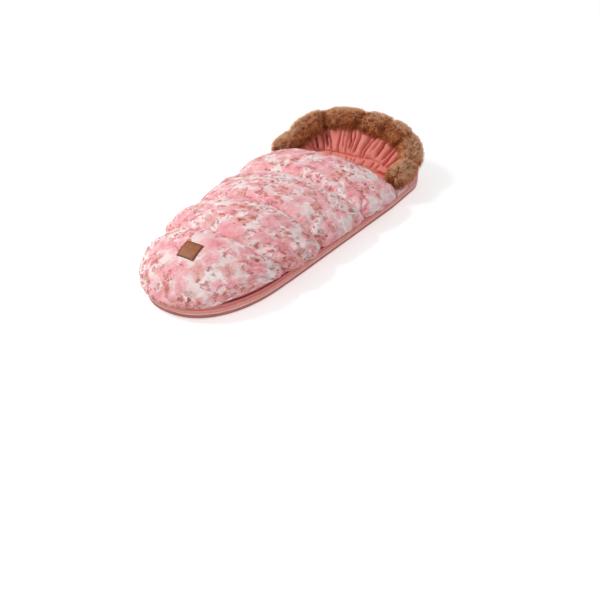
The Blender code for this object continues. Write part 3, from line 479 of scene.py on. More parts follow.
def blossoms(finish, place, size, petals, reach, seed, soft):
    # hand-painted flowers, one to a cell: their paint, the way from the heart, random numbers and petal rays
    shifted = finish.vector("ADD", place, (seed * 1.37, seed * 0.71, 0))[0]
    cells = finish.cells(shifted, size, 0.9)
    away = finish.vector("SUBTRACT", shifted, cells["Position"])[0]
    parts = finish.add("SeparateXYZ", None, {"Vector": away})
    chance = finish.add("SeparateColor", None, {"Color": cells["Color"]})
    radius = finish.math("DIVIDE", finish.vector("LENGTH", away)["Value"], size)
    turn = finish.math("ADD", finish.math("ARCTAN2", parts[1], parts[0]), finish.times(chance[0], 6.28))
    lobes = finish.math("ABSOLUTE", finish.math("COSINE", finish.times(turn, petals / 2)))
    lobes = finish.math("POWER", lobes, 0.5)
    extent = finish.times(finish.math("MULTIPLY_ADD", lobes, 0.45, 0.55), reach,
                          finish.math("MULTIPLY_ADD", chance[1], 0.5, 0.65))
    share = finish.math("DIVIDE", radius, extent)
    return finish.step(share, 1.0, 1 - soft), share, chance, lobes


def printFinish(name):
    finish = Finish(name, roughness=0.86, sheen=0.10, sheenTint=colour(255, 236, 236))
    c = {key: colour(*value) for key, value in printCloth["colours"].items()}
    strength = printCloth["strength"]
    flat = finish.clothPlace()
    wobble = finish.add("TexNoise", {"noise_dimensions": "2D"},
                        {"Vector": flat, "Scale": 48.0, "Detail": 4.0, "Roughness": 0.62})
    offset = finish.vector("SUBTRACT", wobble["Color"], (0.5, 0.5, 0.5))[0]
    place = finish.vector("MULTIPLY_ADD", offset, (0.030, 0.030, 0.0), flat)[0]
    streak = finish.noise(place, 150.0, 3.0, 0.65)
    cloudy = finish.step(finish.noise(flat, 17.0, 4.0, 0.6, 0.6), 0.44, 0.60)
    pale = finish.step(finish.noise(place, 32.0, 3.0), 0.54, 0.70)
    covered = finish.mix(pale, finish.mix(cloudy, c["ground"], c["cloud"]), c["white"])
    bunch = finish.step(finish.noise(flat, 15.0), 0.36, 0.54)        # where small flowers crowd together
    # large washes of pink
    paint, share, chance, lobes = blossoms(finish, place, **printCloth["large"])
    tone = finish.mix(finish.step(share, 0.10, 0.85), c["pink"], c["wash"])
    tone = finish.mix(finish.step(streak, 0.52, 0.68), tone, c["cloud"])
    covered = finish.lay(covered, tone, paint, strength["large"])
    # rose and rust flowers with pale petal rays
    paint, share, chance, lobes = blossoms(finish, place, **printCloth["middle"])
    kind = finish.step(chance[2], 0.62, 0.64)
    tone = finish.mix(finish.step(share, 0.15, 0.80), finish.mix(kind, c["rose"], c["rust"]),
                      finish.mix(kind, c["wash"], c["peach"]))
    tone = finish.lay(tone, c["cloud"], finish.step(lobes, 0.75, 0.95), 0.5)
    tone = finish.mix(finish.step(streak, 0.50, 0.62), tone, c["pink"])
    covered = finish.lay(covered, tone, paint, finish.step(chance[1], 0.12, 0.20), strength["middle"])
    # small flowers, white or deep rose
    paint, share, chance, lobes = blossoms(finish, place, **printCloth["small"])
    tone = finish.mix(finish.step(share, 0.15, 0.8), c["deepRose"], c["peach"])
    tone = finish.mix(finish.step(chance[2], 0.50, 0.52), c["white"], tone)
    tone = finish.lay(tone, c["rust"], finish.step(share, 0.30, 0.12), 0.7)
    covered = finish.lay(covered, tone, paint, finish.step(chance[0], 0.30, 0.36),
                         finish.math("MULTIPLY_ADD", bunch, 0.75, 0.25), strength["small"])
    # leaves, then dark specks
    paint, share, chance, lobes = blossoms(finish, place, **printCloth["leaf"])
    covered = finish.lay(covered, finish.mix(chance[2], c["leaf"], c["rust"]),
                         paint, finish.step(chance[0], 0.48, 0.55), bunch, strength["leaf"])
    paint, share, chance, lobes = blossoms(finish, place, **printCloth["speck"])
    covered = finish.lay(covered, c["heart"],
                         paint, finish.step(chance[0], 0.64, 0.70), bunch, strength["speck"])
    covered = finish.lay(covered, c["white"], finish.step(streak, 0.55, 0.72), 0.35)
    threads = weave(finish, flat, printCloth["weaveSize"], printCloth["weaveDepth"])
    # painted highlight: a near-white laid over the raised thread crossings
    finish.paint(finish.lay(covered, colour(255, 250, 248), threads, 0.10))
    return finish.material


def plainCloth(name, face, shadow, weaveSize=0.0006, roughness=0.85, sheen=0.25, depth=0.00012, crease=None):
    # plain woven cloth with uneven dye, a painted highlight on its raised threads and, when given, painted
    # shade in its creases
    dye = colour(*face)
    finish = Finish(name, dye, roughness, sheen=sheen, sheenTint=dye)
    flat = finish.clothPlace()
    threads = weave(finish, flat, weaveSize, depth)
    tone = finish.lay(dye, colour(*shadow), finish.step(finish.noise(flat, 22.0, 3.0, 0.6), 0.3, 0.75), 0.45)
    # painted highlight: a lighter dye laid over the raised thread crossings
    tone = finish.lay(tone, colour(*[min(v + 40, 255) for v in face]), threads, 0.12)
    if crease:
        # painted shade in the creases: the crease colour laid over the fold depths kept on the mesh
        tone = finish.lay(tone, colour(*crease), finish.step(finish.kept("creaseDepth"), 0.15, 0.95), 0.80)
    finish.paint(tone)
    return finish.material


finishes = {
    "print": printFinish("printed_cloth"),
    # the lining's crease colour is painted shade in the hood lining's folds
    "lining": plainCloth("coral_lining", (240, 150, 136), (222, 118, 106), crease=(172, 70, 60)),
    "trim": plainCloth("coral_trim", (238, 154, 148), (220, 124, 118), 0.0005, 0.7, 0.35),
    "piping": plainCloth("pale_piping", (255, 214, 205), (250, 190, 181), 0.0004, 0.5, 0.4),
    "band": plainCloth("coral_band", (250, 172, 162), (236, 144, 135), 0.0007, 0.7, 0.3),
    "tape": plainCloth("zip_tape", (232, 140, 134), (208, 108, 104), 0.0008, 0.75, 0.15, 0.0002),
    "under": plainCloth("dusty_underside", (212, 134, 128), (190, 110, 106), 0.0010, 0.85, 0.1, 0.00025),
    "binding": plainCloth("slot_binding", (205, 106, 100), (176, 76, 74), 0.0005),
}
report("cloth finishes made")


# Cover: printed cloth over loose filling, sewn down across the ankles, knees and hips
cover = {
    "ankleSeam": footEnd + 0.212,
    "seamHeights": (0.1440, 0.1440, 0.1395, 0.1206, 0.1206),
    "puffs": (0.017, 0.024, 0.025, 0.020),        # how far each one rises over its seams
    "footCrest": 0.120, "puffPower": 2.2, "sectionPower": 1.93, "toeRisePower": 3.2,
    "swell": {"seam": 0.009, "side": 0.030, "toe": 0.029, "puff": 0.044},
    "sag": {"seam": 0.004, "side": 0.013, "toe": 0.031, "puff": 0.018},
    "swellStart": 38, "swellLateness": 1.7,
    "cell": 0.0068, "columns": 84, "thickness": 0.0014, "filling": 0.55,
    "startSmaller": 0.004, "startNoise": 0.0012, "pressure": 5.5, "mostMoved": 0.012, "frames": 20,
    "cutWider": 1.02, "cutLonger": 1.13,           # the cut against the worn puff
    "toeDroop": 0.026, "sideDroop": 0.012, "droopOut": 0.005, "rightBare": 0.85, "rollRadius": 0.0062,
    "plump": 0.0012, "plumpWidth": 0.016,
    "seamSink": 0.0072, "sinkWidth": 0.011,        # how the puffs crowd the seams
    "seamGathers": {"spacing": 0.020, "height": 0.0046, "reach": 0.034, "vary": 0.024, "per": 0.03,
                    "least": 0.008, "power": 1.5},
    "sideGathers": {"spacing": 0.018, "height": 0.0048, "reach": 0.040, "vary": 0.02, "per": 0.04,
                    "least": 0.010, "power": 1.6},
    "fans": {"height": 0.0165, "necklineHeight": 0.006, "reach": 0.060, "folds": 4.2},
    "dimpleSize": 0.028, "dimpleHeight": 0.0007,
}
coverLining = {
    "gap": 0.0092, "toeGap": 0.014, "hemGap": 0.0045, "rimGap": 0.0034, "fullness": 0.3,
    "cell": 0.007, "columns": 91, "thickness": 0.0012, "waveHeight": 0.0022, "waveSize": 0.035,
}
seams = [footEnd, cover["ankleSeam"], kneeSeam, hipSeam, neckline]


def puffShare(y):
    # 0 on a seam and 1 on the crest of a puff
    y = np.asarray(y, float)
    crest = footEnd + cover["footCrest"]
    across = (y - crest) / (seams[1] - crest)
    for low, high in zip(seams[1:], seams[2:]):
        across = np.where(y > low, np.abs(2 * (y - low) / (high - low) - 1), across)
    across = np.clip(across, 0, 1)
    return np.maximum(1 - across ** cover["puffPower"], 0) ** (1 / cover["puffPower"])


def ridgeHeight(y, fullness):
    valley = np.interp(y, seams, cover["seamHeights"])
    rise = np.zeros_like(np.asarray(y, float))
    for low, high, puff in zip(seams, seams[1:], cover["puffs"]):
        rise = np.where(y > low - 1e-9, puff, rise)
    return valley + fullness * rise * puffShare(y)


def coverPoints(across, along, depth=0.0, fullness=1.0):
    # across runs from -1 at the left rim to 1 at the right, along is the y of each row at the middle
    u, row = np.meshgrid(across, along)
    footLength, section = bag["footLength"], cover["sectionPower"]
    footTop = footEnd + footLength
    into = np.clip((footTop - row) / footLength, 0, 1)
    dx, dy, reach = discPlaces(u, -2 / np.pi * np.arcsin(into ** (section / 2)))
    turn = np.minimum(reach, 1) * np.pi / 2
    power = section * dx ** 2 + cover["toeRisePower"] * dy ** 2
    spread = np.sin(turn) ** (2 / section)
    rise = np.maximum(np.cos(turn), 0) ** (2 / power)
    plan = rimDistance(dx, dy, bag["footPower"])
    y = np.where(row < footTop, footTop + (footLength - depth) * plan * dy * spread, row)
    x = (halfWidth(y) - depth) * plan * dx * spread
    start = math.radians(cover["swellStart"])
    lean = np.sin(np.pi * np.clip((turn - start) / (np.pi / 2 - start), 0, 1) ** cover["swellLateness"])
    share = puffShare(row)

    def bulge(kind):
        # smallest on the seams; the foot's own is read at its sides and at its toe
        full = np.where(row < seams[1], kind["side"] * dx ** 2 + kind["toe"] * dy ** 2, kind["puff"])
        return (kind["seam"] + (full - kind["seam"]) * share) * fullness * lean

    swell = bulge(cover["swell"])
    z = coverRim + (ridgeHeight(row, fullness) - depth - coverRim) * rise - bulge(cover["sag"])
    return np.stack([x + swell * dx, y + swell * dy, z], -1)


def droopOver(grid):
    # the foot hangs over its zip: most at the toe and the left, less towards the knees
    x, y, z = np.moveaxis(grid, -1, 0)
    heading = np.arctan2(x, footEnd + bag["footLength"] - y)      # 0 at the toe
    toe = np.exp(-((heading + 0.35) / 0.95) ** 4)
    fade = smoothStep(kneeSeam, footEnd + 0.16, y)
    fade = fade * (1 - cover["rightBare"] * smoothStep(0.25, 0.85, heading))      # the zip shows on the right
    drop = (cover["sideDroop"] + (cover["toeDroop"] - cover["sideDroop"]) * toe) * fade
    low = np.sin(np.pi * np.clip((z - coverRim) / 0.085, 0, 1) ** 0.35)
    outward = unit(np.stack([x, np.minimum(y - footEnd - bag["footLength"], 0), 0 * drop], -1))
    moved = grid - np.array([0, 0, 1.0]) * (drop * low)[..., None]
    return moved + outward * (cover["droopOut"] * low * fade)[..., None]


def coverRows(low, high, cell):
    # rows an even way apart along the ridge
    y = np.linspace(low, high, 200)
    along = lengthAlong(coverPoints([0.0], y)[:, 0])
    return np.interp(np.linspace(0, along[-1], int(round(along[-1] / cell)) + 1), along, y)


def flatten(grid, rounds=240):
    # the flat pattern of a bent grid: lay it out, then even out the lengths of its cells and diagonals
    flat = flatPlaces(grid)
    whole, early, late = slice(None), slice(None, -1), slice(1, None)
    pairs = [((whole, early), (whole, late)), ((early, whole), (late, whole)),
             ((early, early), (late, late)), ((early, late), (late, early))]
    lengths = [np.linalg.norm(grid[second] - grid[first], axis=-1) for first, second in pairs]
    for number in range(rounds):
        move, share = np.zeros_like(flat), np.zeros(flat.shape[:2] + (1,))
        for (first, second), length in zip(pairs, lengths):
            step = flat[second] - flat[first]
            now = np.linalg.norm(step, axis=-1)
            pull = (0.5 * (1 - length / np.maximum(now, 1e-9)))[..., None] * step
            move[first] += pull
            move[second] -= pull
            share[first] += 1
            share[second] += 1
        flat = flat + 1.6 * move / share
    return flat


# Simulated cloth, with air pressure on one side of it
clothSettings = {
    "quality": 6, "mass": 0.3, "air_damping": 2.0, "pin_stiffness": 1.0, "vertex_group_mass": "sewn",
    "tension_stiffness": 12.0, "compression_stiffness": 12.0, "shear_stiffness": 4.8,
    "tension_damping": 8.0, "compression_damping": 8.0, "shear_damping": 8.0, "use_pressure": True,
}


def runCloth(grid, pinned, pressure, frames, pattern=None, bending=0.35):
    # pinned points stay, and the pattern gives the size of the cut
    piece = makeMesh("cloth_work", grid.reshape(-1, 3), gridFaces(*grid.shape[:2]))
    group = piece.vertex_groups.new(name="sewn")
    group.add([int(k) for k in np.flatnonzero(pinned.ravel())], 1.0, "REPLACE")
    modifier = piece.modifiers.new("cloth", "CLOTH")
    settings = modifier.settings
    if pattern is not None:
        piece.shape_key_add(name="worn")
        cut = piece.shape_key_add(name="cut")
        cut.data.foreach_set("co", np.asarray(pattern, np.float32).ravel())
        settings.rest_shape_key = cut
    for key, value in clothSettings.items():
        setattr(settings, key, value)
    settings.bending_stiffness, settings.uniform_pressure_force = bending, pressure
    settings.effector_weights.gravity = 0
    modifier.collision_settings.use_collision = modifier.collision_settings.use_self_collision = False
    modifier.point_cache.frame_start, modifier.point_cache.frame_end = 1, frames
    for frameNumber in range(1, frames + 1):
        scene.frame_set(frameNumber)
    mesh = piece.evaluated_get(bpy.context.evaluated_depsgraph_get()).to_mesh()
    points = np.zeros(len(mesh.vertices) * 3)
    mesh.vertices.foreach_get("co", points)
    scene.frame_set(1)
    bpy.data.objects.remove(piece, do_unlink=True)
    return points.reshape(grid.shape)


def capMove(before, after, most):
    move = after - before
    far = np.linalg.norm(move, axis=-1, keepdims=True)
    return before + move * np.minimum(1, most * np.tanh(far / most) / np.maximum(far, 1e-9))


def sewnMask(shape, rows=()):
    # the edges of a grid and some of its rows
    mask = np.zeros(shape, bool)
    mask[[0, -1, *rows]] = True
    mask[:, [0, -1]] = True
    return mask


def ridges(along, spacing, seed):
    # uneven parallel gathers along a line, 0 in a crease and 1 on a fold
    wander = valueNoise(along / (spacing * 2.5), seed) * 0.9
    fold = np.abs(np.sin(np.pi * (along / spacing + wander))) ** 0.625
    strength = 0.55 + 0.45 * valueNoise(along / (spacing * 3.1) + 9, seed + 5)
    return fold * np.clip(strength, 0, 1.2)


def puffSheet(stops, seed):
    # one stretch of cover between seams, filled by simulation; gives its grid and the y of its rows
    along = np.concatenate([coverRows(low, high, cover["cell"])[min(k, 1):]
                            for k, (low, high) in enumerate(zip(stops, stops[1:]))])
    gap = np.min([np.abs(along - y) for y in seams[1:4]], axis=0)[:, None]
    sink = cover["seamSink"] * np.exp(-(gap / cover["sinkWidth"]) ** 1.3)
    full = coverPoints(np.linspace(-1, 1, cover["columns"] + 1), along, sink)
    if stops[0] <= footEnd + 1e-6:
        full = droopOver(full)
    pinned = sewnMask(full.shape[:2], [int(np.argmin(np.abs(along - y))) for y in stops[1:-1]])
    sewn = np.minimum(1, distanceFromSeams(full, pinned) / 0.05)[..., None]
    normals = gridNormals(full)
    start = full - normals * cover["startSmaller"] * sewn
    noise = valueNoise(full[..., :2] * 45, seed) + valueNoise(full[..., 1:] * 60, seed + 3)
    start = start + normals * noise[..., None] * cover["startNoise"] * sewn
    swollen = runCloth(start, pinned, cover["pressure"], cover["frames"], cutPattern(full, along, stops))
    return capMove(full, swollen, cover["mostMoved"]), along


def distanceFromSeams(grid, pinned):
    points = grid[pinned]
    flat = grid.reshape(-1, 3)
    near = np.full(len(flat), 9.0)
    for k in range(0, len(points), 40):
        near = np.minimum(near, np.linalg.norm(flat[:, None] - points[None, k:k + 40], axis=2).min(1))
    return near.reshape(grid.shape[:2])


def cutPattern(full, along, stops):
    # the cut is a little larger than the worn shape, and widest where each puff is fullest
    middle = full.shape[1] // 2
    pattern = np.zeros_like(full)
    for low, high in zip(stops, stops[1:]):
        inside = np.flatnonzero((along >= low - 1e-9) & (along <= high + 1e-9))
        wide = lengthAlong(full[inside[len(inside) // 2]])
        long = lengthAlong(full[inside, middle])
        pattern[inside, :, 0] = (wide - wide[middle])[None] * cover["cutWider"]
        pattern[inside, :, 1] = (long * cover["cutLonger"])[:, None] + pattern[inside[0], 0, 1]
    return pattern


def sheetArea(grid):
    across = np.linalg.norm(np.diff(grid, axis=1), axis=2)
    a, b = grid[:-1, 1:] - grid[:-1, :-1], grid[1:, :-1] - grid[:-1, :-1]
    return float(np.linalg.norm(np.cross(a, b), axis=-1).sum()), float(across.sum(1).max())


def puckers(length, away, kind, foldSeed, reachSeed):
    # gathers along a sewn edge that fade away from it; length runs along the edge
    fold = ridges(length, kind["spacing"], foldSeed)
    reach = kind["reach"] + kind["vary"] * valueNoise(length / kind["per"], reachSeed)
    fade = np.exp(-(away / np.maximum(reach, kind["least"])) ** kind["power"]) * smoothStep(0, 0.004, away)
    return (fold - 0.5) * kind["height"] * fade


def gatherRelief(grid, along, seamYs, seed):
    # puckers that run out from the sewn edges, as an offset along the normal
    places = flatPlaces(grid)
    relief, fans = np.zeros(grid.shape[:2]), cover["fans"]
    rows = [int(np.argmin(np.abs(along - y))) for y in seamYs]
    for number, (y, row) in enumerate(zip(seamYs, rows)):
        away = np.abs(places[..., 1] - places[row, :, 1])
        if y < neckline - 1e-6:
            relief += cover["plump"] * (away / cover["plumpWidth"]) * np.exp(1 - away / cover["plumpWidth"])
        relief += puckers(lengthAlong(grid[row]), away, cover["seamGathers"], seed + 13 * number, seed + 7)
    for side in (0, -1):
        away = np.abs(places[..., 0] - places[:, [side], 0])
        edge = lengthAlong(grid[:, side])
        relief += puckers(edge, away.T, cover["sideGathers"], seed + 101 + side, seed + 17).T
    # folds that fan out from each end of a seam
    for y, row in zip(seamYs, rows):
        for side in (0, -1):
            gap = places - places[row, side]
            far, turn = np.hypot(gap[..., 0], gap[..., 1]), np.arctan2(gap[..., 1], np.abs(gap[..., 0]))
            wander = 0.12 * valueNoise(turn[..., None] * 2.3, seed + 223)
            turn = turn + 0.25 * valueNoise(far[..., None] / 0.03, seed + 211) + wander
            fold = np.abs(np.sin(turn * fans["folds"] + seed)) ** 0.6 - 0.6
            strength = fans["height"]
            if y >= neckline - 1e-6:
                strength = fans["necklineHeight"] * smoothStep(0, 0.030, np.abs(gap[..., 1]))
            relief += fold * strength * smoothStep(0.006, 0.030, far) * np.exp(-(far / fans["reach"]) ** 1.7)
    return relief


def necklineRoll(grid, seed):
    # the top edge of the cover turns under in a soft rolled hem
    edge, before = grid[-1], grid[-5]
    even = lambda row: np.stack([np.convolve(np.pad(row[:, k], 9, "edge"), np.ones(19) / 19, "valid")
                                 for k in range(3)], 1)
    ahead, down = unit(even(unit(edge - before))), unit(even(-gridNormals(grid)[-1]))
    length = lengthAlong(edge)
    ends = smoothStep(0, 0.03, np.minimum(length, length[-1] - length))
    radius = cover["rollRadius"] * (1 + 0.12 * valueNoise(length / 0.035, seed)) * (0.20 + 0.80 * ends)
    radius = radius[:, None]
    turns = np.linspace(0, np.pi, 9)[1:]
    rows = [edge + ahead * radius * math.sin(turn) + down * radius * (1 - math.cos(turn)) for turn in turns]
    rows += [rows[-1] - ahead * back for back in (0.003, 0.006, 0.009)]
    return np.concatenate([grid, np.array(rows)])


def buildPanel(panel, stops, seed, started):
    # one panel of printed cloth; gives its grid and how far along the cloth it ends
    coarse, along = puffSheet(stops, seed)
    grid = upsample(coarse, 2)
    fineAlong = np.interp(np.linspace(0, len(along) - 1, len(grid)), np.arange(len(along)), along)
    relief = gatherRelief(grid, fineAlong, [y for y in stops if y > footEnd + 1e-6], seed)
    small = valueNoise(flatPlaces(grid) / cover["dimpleSize"], seed + 61) * cover["dimpleHeight"]
    grid = grid + gridNormals(grid) * (relief + small)[..., None]
    places = upsample(flatten(coarse), 2)
    if panel == "chest":
        rows = len(grid)
        grid = necklineRoll(grid, seed)
        onward = np.cumsum(np.linalg.norm(np.diff(grid[rows - 1:], axis=0), axis=2), axis=0)
        places = np.concatenate([places, places[-1] + onward[..., None] * (0, 1)])
    middle = places.shape[1] // 2
    places = places - places[0, middle] + (0, started)
    dress(cloth(panel + "_cover", grid, cover["thickness"], places), finishes["print"],
          [panel + "_cover_shell", panel + "_cover_wadding"], panel)
    return grid, places[-1, middle, 1]


def buildPanelLining(panel, low, high, seed):
    # deeper at the toe and under the rolled hem, and out to the zip at the sides
    rows = coverRows(low, high, coverLining["cell"])
    depth = cover["thickness"] + coverLining["gap"]
    depth = depth + coverLining["toeGap"] * np.exp(-((rows - footEnd) / 0.060) ** 2)[:, None]
    depth = depth + coverLining["hemGap"] * smoothStep(0.040, 0.006, neckline - rows)[:, None]
    shares = np.linspace(-1, 1, coverLining["columns"])
    middle = smoothStep(1.0, 0.93, np.abs(shares))[None]
    depth = depth * middle + coverLining["rimGap"] * (1 - middle)
    grid = coverPoints(shares, rows, depth, coverLining["fullness"])
    rise = (coverLining["waveHeight"] * valueNoise(flatPlaces(grid) / coverLining["waveSize"], seed + 71)
            * smoothStep(0, 0.02, np.min([np.abs(rows - y) for y in seams], axis=0))[:, None])
    grid = grid - gridNormals(grid) * np.abs(rise)[..., None]
    lining = cloth(panel + "_lining", grid, coverLining["thickness"], flatPlaces(grid))
    dress(lining, finishes["lining"], [panel + "_cover_lining"], panel)


def buildCover():
    grids, started = {}, 0.0
    for panel, stops, seed in (("foot", seams[:3], 21), ("thigh", seams[2:4], 33), ("chest", seams[3:], 47)):
        grids[panel], started = buildPanel(panel, stops, seed, started)
        buildPanelLining(panel, stops[0], stops[-1], seed)
    return grids


coverGrids = buildCover()
report("cover made")


# Trims that follow the rim of the bag: a cord has a radius, a strip a low and a high edge
trimKinds = {
    "piping": {"slot": "trim_fabric", "points": 10, "wave": 0.07},
    "band": {"slot": "trim_fabric", "wave": 0.05},
    "tape": {"slot": "zip_tape"},
    "coil": {"slot": "zip_coil", "points": 6, "ribs": 0.35},
}
trims = {
    "step": 0.004, "coilStep": 0.0010, "zipShort": 0.0105, "waveSize": 0.011,
    "coverPiping": {"kind": "piping", "inset": 0.0012, "height": 0.0517, "radius": 0.0027},
    "coverTape": {"kind": "tape", "inset": 0.0004, "low": 0.0433, "high": 0.0487},
    "coverCoil": {"kind": "coil", "inset": 0.0016, "height": 0.0418, "radius": 0.0012},
    "baseTape": {"kind": "tape", "inset": 0.0004, "low": 0.0273, "high": 0.0365},
    "baseCoil": {"kind": "coil", "inset": 0.0016, "height": 0.0380, "radius": 0.0012},
    "band": {"kind": "band", "inset": 0.0, "low": 0.0175, "high": 0.0270, "thickness": 0.0014,
             "bulge": 0.0012},
    "basePiping": {"kind": "piping", "inset": 0.0012, "height": 0.0145, "radius": 0.0027},
}
zipEnd = neckline - trims["zipShort"]


def sidePath(side, low, high, step):
    y = np.linspace(low, high, int(round((high - low) / step)) + 1)
    return np.stack([side * halfWidth(y), y], 1)


def cordProfile(inset, height, radius, points):
    angles = np.linspace(0, 2 * np.pi, points, endpoint=False) + np.pi / points
    return [(inset + radius * math.cos(a), height + radius * math.sin(a)) for a in angles]


def stripProfile(inset, low, high, thickness=0.001, bulge=0.0005):
    middle, quarter = (low + high) / 2, (high - low) * 0.25
    return [(inset, low), (inset - bulge * 0.8, middle - quarter), (inset - bulge, middle),
            (inset - bulge * 0.8, middle + quarter), (inset, high),
            (inset + thickness, high), (inset + thickness, middle), (inset + thickness, low)]


def layTrim(name, path, trim, solid, mover, loop=False, seed=0):
    # a cord or a strip along a path; a coil's ribs are every second point of a finer path
    sizes = dict(trims[trim])
    kind = sizes.pop("kind")
    look = trimKinds[kind]
    if "ribs" in look:
        path = resample(path, trims["coilStep"])[0]
    profile = cordProfile(points=look["points"], **sizes) if "radius" in sizes else stripProfile(**sizes)
    rings = sweep(path, sideways(path, loop), profile)
    middle = rings.mean(0, keepdims=True)
    length, swell = lengthAlong(path), np.ones(len(path))
    if "wave" in look:
        swell = 1 + look["wave"] * valueNoise(length / trims["waveSize"], seed)
    if "ribs" in look:
        swell = np.where(np.arange(len(path)) % 2 == 0, 1.0, 1 - look["ribs"])
    rings = middle + (rings - middle) * swell[None, :, None]
    around = np.linalg.norm(rings - np.roll(rings, 1, 0), axis=2).mean(1).cumsum()
    places = np.stack(np.broadcast_arrays(around[:, None], length[None, :]), -1)
    dress(ringLoft(name, rings, loop, places), finishes[kind], [solid], mover)


coilFinish = Finish("zip_coil", colour(168, 72, 72), 0.42)
coilNoise = coilFinish.noise(coilFinish.clothPlace(), 900.0)
coilFinish.paint(coilFinish.mix(coilNoise, colour(176, 78, 78), colour(140, 52, 54)))
finishes["coil"] = coilFinish.material


def buildTrims():
    step = trims["step"]
    stretches = [("foot", "", footPath(kneeSeam, step))]
    for panel, low, high in (("thigh", kneeSeam, hipSeam), ("chest", hipSeam, neckline)):
        for side, word in ((-1, "_left"), (1, "_right")):
            stretches.append((panel, word, sidePath(side, low + 0.0003, high, step)))
    for number, (panel, word, path) in enumerate(stretches):
        zipPath = path[path[:, 1] <= zipEnd + 1e-6]
        for kind, line, trim in (("_piping", path, "coverPiping"), ("_zip_tape", zipPath, "coverTape"),
                                 ("_zip_coil", zipPath, "coverCoil")):
            layTrim(panel + kind + word, line, trim, panel + "_cover" + kind + word, panel, seed=200 + number)
    layTrim("base_tape", footPath(neckline, step), "baseTape", "base_zip_tape", "bag")
    layTrim("base_coil", footPath(zipEnd, step), "baseCoil", "base_zip_coil", "bag")
    layTrim("band", wholePath(step), "band", "side_band", "bag", True, 301)
    layTrim("lower_piping", wholePath(step), "basePiping", "base_piping", "bag", True, 307)


buildTrims()
report("zip, tapes and piping made")


# Hood: gathered lining inside, printed cloth outside, fur round the rim
hood = {
    "rimInset": 0.0206, "furSide": 0.083, "furTop": 0.143, "furRadius": 0.031,
    "crownInset": 0.0376, "footSide": 0.060, "footHead": 0.115, "slopePower": 0.8,
    "floor": 0.0165, "low": 0.0275, "seamShare": 0.80,
    "lip": 0.10, "lipInset": 0.0212, "lipDrop": 0.0024, "belowRim": 0.0006, "slopeSwell": 0.004,
    "foldWidths": (0.012, 0.042), "lowFoldWidths": (0.020, 0.060), "foldDepth": 0.0285, "filling": 0.4,
    "liningThickness": 0.0012, "liningPressure": 2.6, "liningFrames": 12, "liningMoved": 0.004,
    "outerThickness": 0.0014, "outerPressure": 1.6, "outerFrames": 18, "outerMoved": 0.008,
    "cutWider": 1.12, "cutTaller": 1.04, "pleatWidth": 0.026, "closingThickness": 0.0011,
    # the outside from the band (0) up to the rim (1): how far in it lies, drawn coarsely and finely
    "coarseLine": ((0, 0.4, 0.84, 1), (0.0003, -0.0015, 0.0070, 0.0212)),
    "fineLine": ((0, 0.2, 0.4, 0.62, 0.84, 0.93, 1),
                 (0.0003, -0.0010, -0.0015, 0.0012, 0.0070, 0.0130, 0.0212)),
}
headStart = headEnd - bag["headLength"]
hoodSide = headStart - hoodStart


def hoodPlan(station, inset):
    # station runs -1..0 up the right side, 0..pi round the head, pi..pi+1 down the left side
    station, inset = np.broadcast_arrays(np.asarray(station, float), inset)
    angle = np.clip(station, 0, np.pi)
    power = 2 / bag["headPower"]
    length = bag["headLength"] - inset
    y = headStart + length * np.abs(np.sin(angle)) ** power
    y = np.where(station < 0, headStart + station * hoodSide, y)
    y = np.where(station > np.pi, headStart - (station - np.pi) * hoodSide, y)
    x = (bag["headHalfWidth"] - inset) * np.sign(np.cos(angle)) * np.abs(np.cos(angle)) ** power
    return x, y


def hoodShare(station):
    return np.abs(np.sin(np.clip(station, 0, np.pi))) ** (2 / bag["headPower"])


def hoodStations(step, inset):
    # even steps round the hood, and how far along each one is
    side = np.linspace(-1, 0, 60)
    fine = np.concatenate([side[:-1], arcAngles(300), np.pi + 1 + side[1:]])
    along = lengthAlong(np.stack(hoodPlan(fine, inset), 1))
    places = np.linspace(0, along[-1], int(round(along[-1] / step)) + 1)
    return np.interp(places, along, fine), places


def rimHeight(station):
    share = hoodShare(station)
    return hood["furSide"] + (hood["furTop"] - hood["furSide"]) * share - hood["furRadius"]


def liningPoints(stations, s):
    # from the rim (0) down the slope to the floor (1)
    station = np.broadcast_to(stations, s.shape)
    reach = hood["footSide"] + (hood["footHead"] - hood["footSide"]) * hoodShare(station)
    lip, swell = hood["lip"], hood["slopeSwell"]
    slope = np.clip((s - lip) / (1 - lip), 0, 1)
    inset = hood["crownInset"] + (reach - hood["crownInset"]) * slope + swell
    lipInset = hood["lipInset"] + (hood["crownInset"] + swell - hood["lipInset"]) * s / lip
    inset = np.where(s < lip, lipInset, inset)
    rim = rimHeight(station)
    top = rim - hood["belowRim"] - hood["lipDrop"]
    z = hood["floor"] + (top - hood["floor"]) * (1 - slope) ** hood["slopePower"]
    z = np.where(s < lip, rim - hood["belowRim"] - hood["lipDrop"] * (s / lip) ** 2, z)
    z = z + swell * np.sin(np.pi * slope)
    x, y = hoodPlan(station, inset)
    return np.stack([x, y, z], -1)


def creases(length, shares, widths, seed, ends):
    # gathered cloth: 0 on the folds, down to -1 in creases that wander and end at different places
    local = np.random.default_rng(seed)
    relief = np.zeros(shares.shape)
    place = -widths[1]
    while place < length[-1] + widths[1]:
        place += widths[0] + (widths[1] - widths[0]) * local.uniform() ** 1.6
        slant, depth, end = local.normal(0, 0.010), local.uniform(0.40, 1.0), local.uniform(*ends)
        bend = 0.004 * valueNoise(shares[..., None] * 3.1, int(local.integers(1, 9000)))
        away = np.abs(length[None] - place - slant * (shares - 0.4) - bend) / local.uniform(0.0024, 0.0052)
        held = depth * smoothStep(end + 0.14, end - 0.10, shares)
        dip = held * (0.45 + 0.55 * smoothStep(0.10, 0.38, shares)) * np.exp(-away)
        relief = np.minimum(relief, -dip) * 0.55 + (relief - dip) * 0.45
    return np.maximum(relief, -1.15)


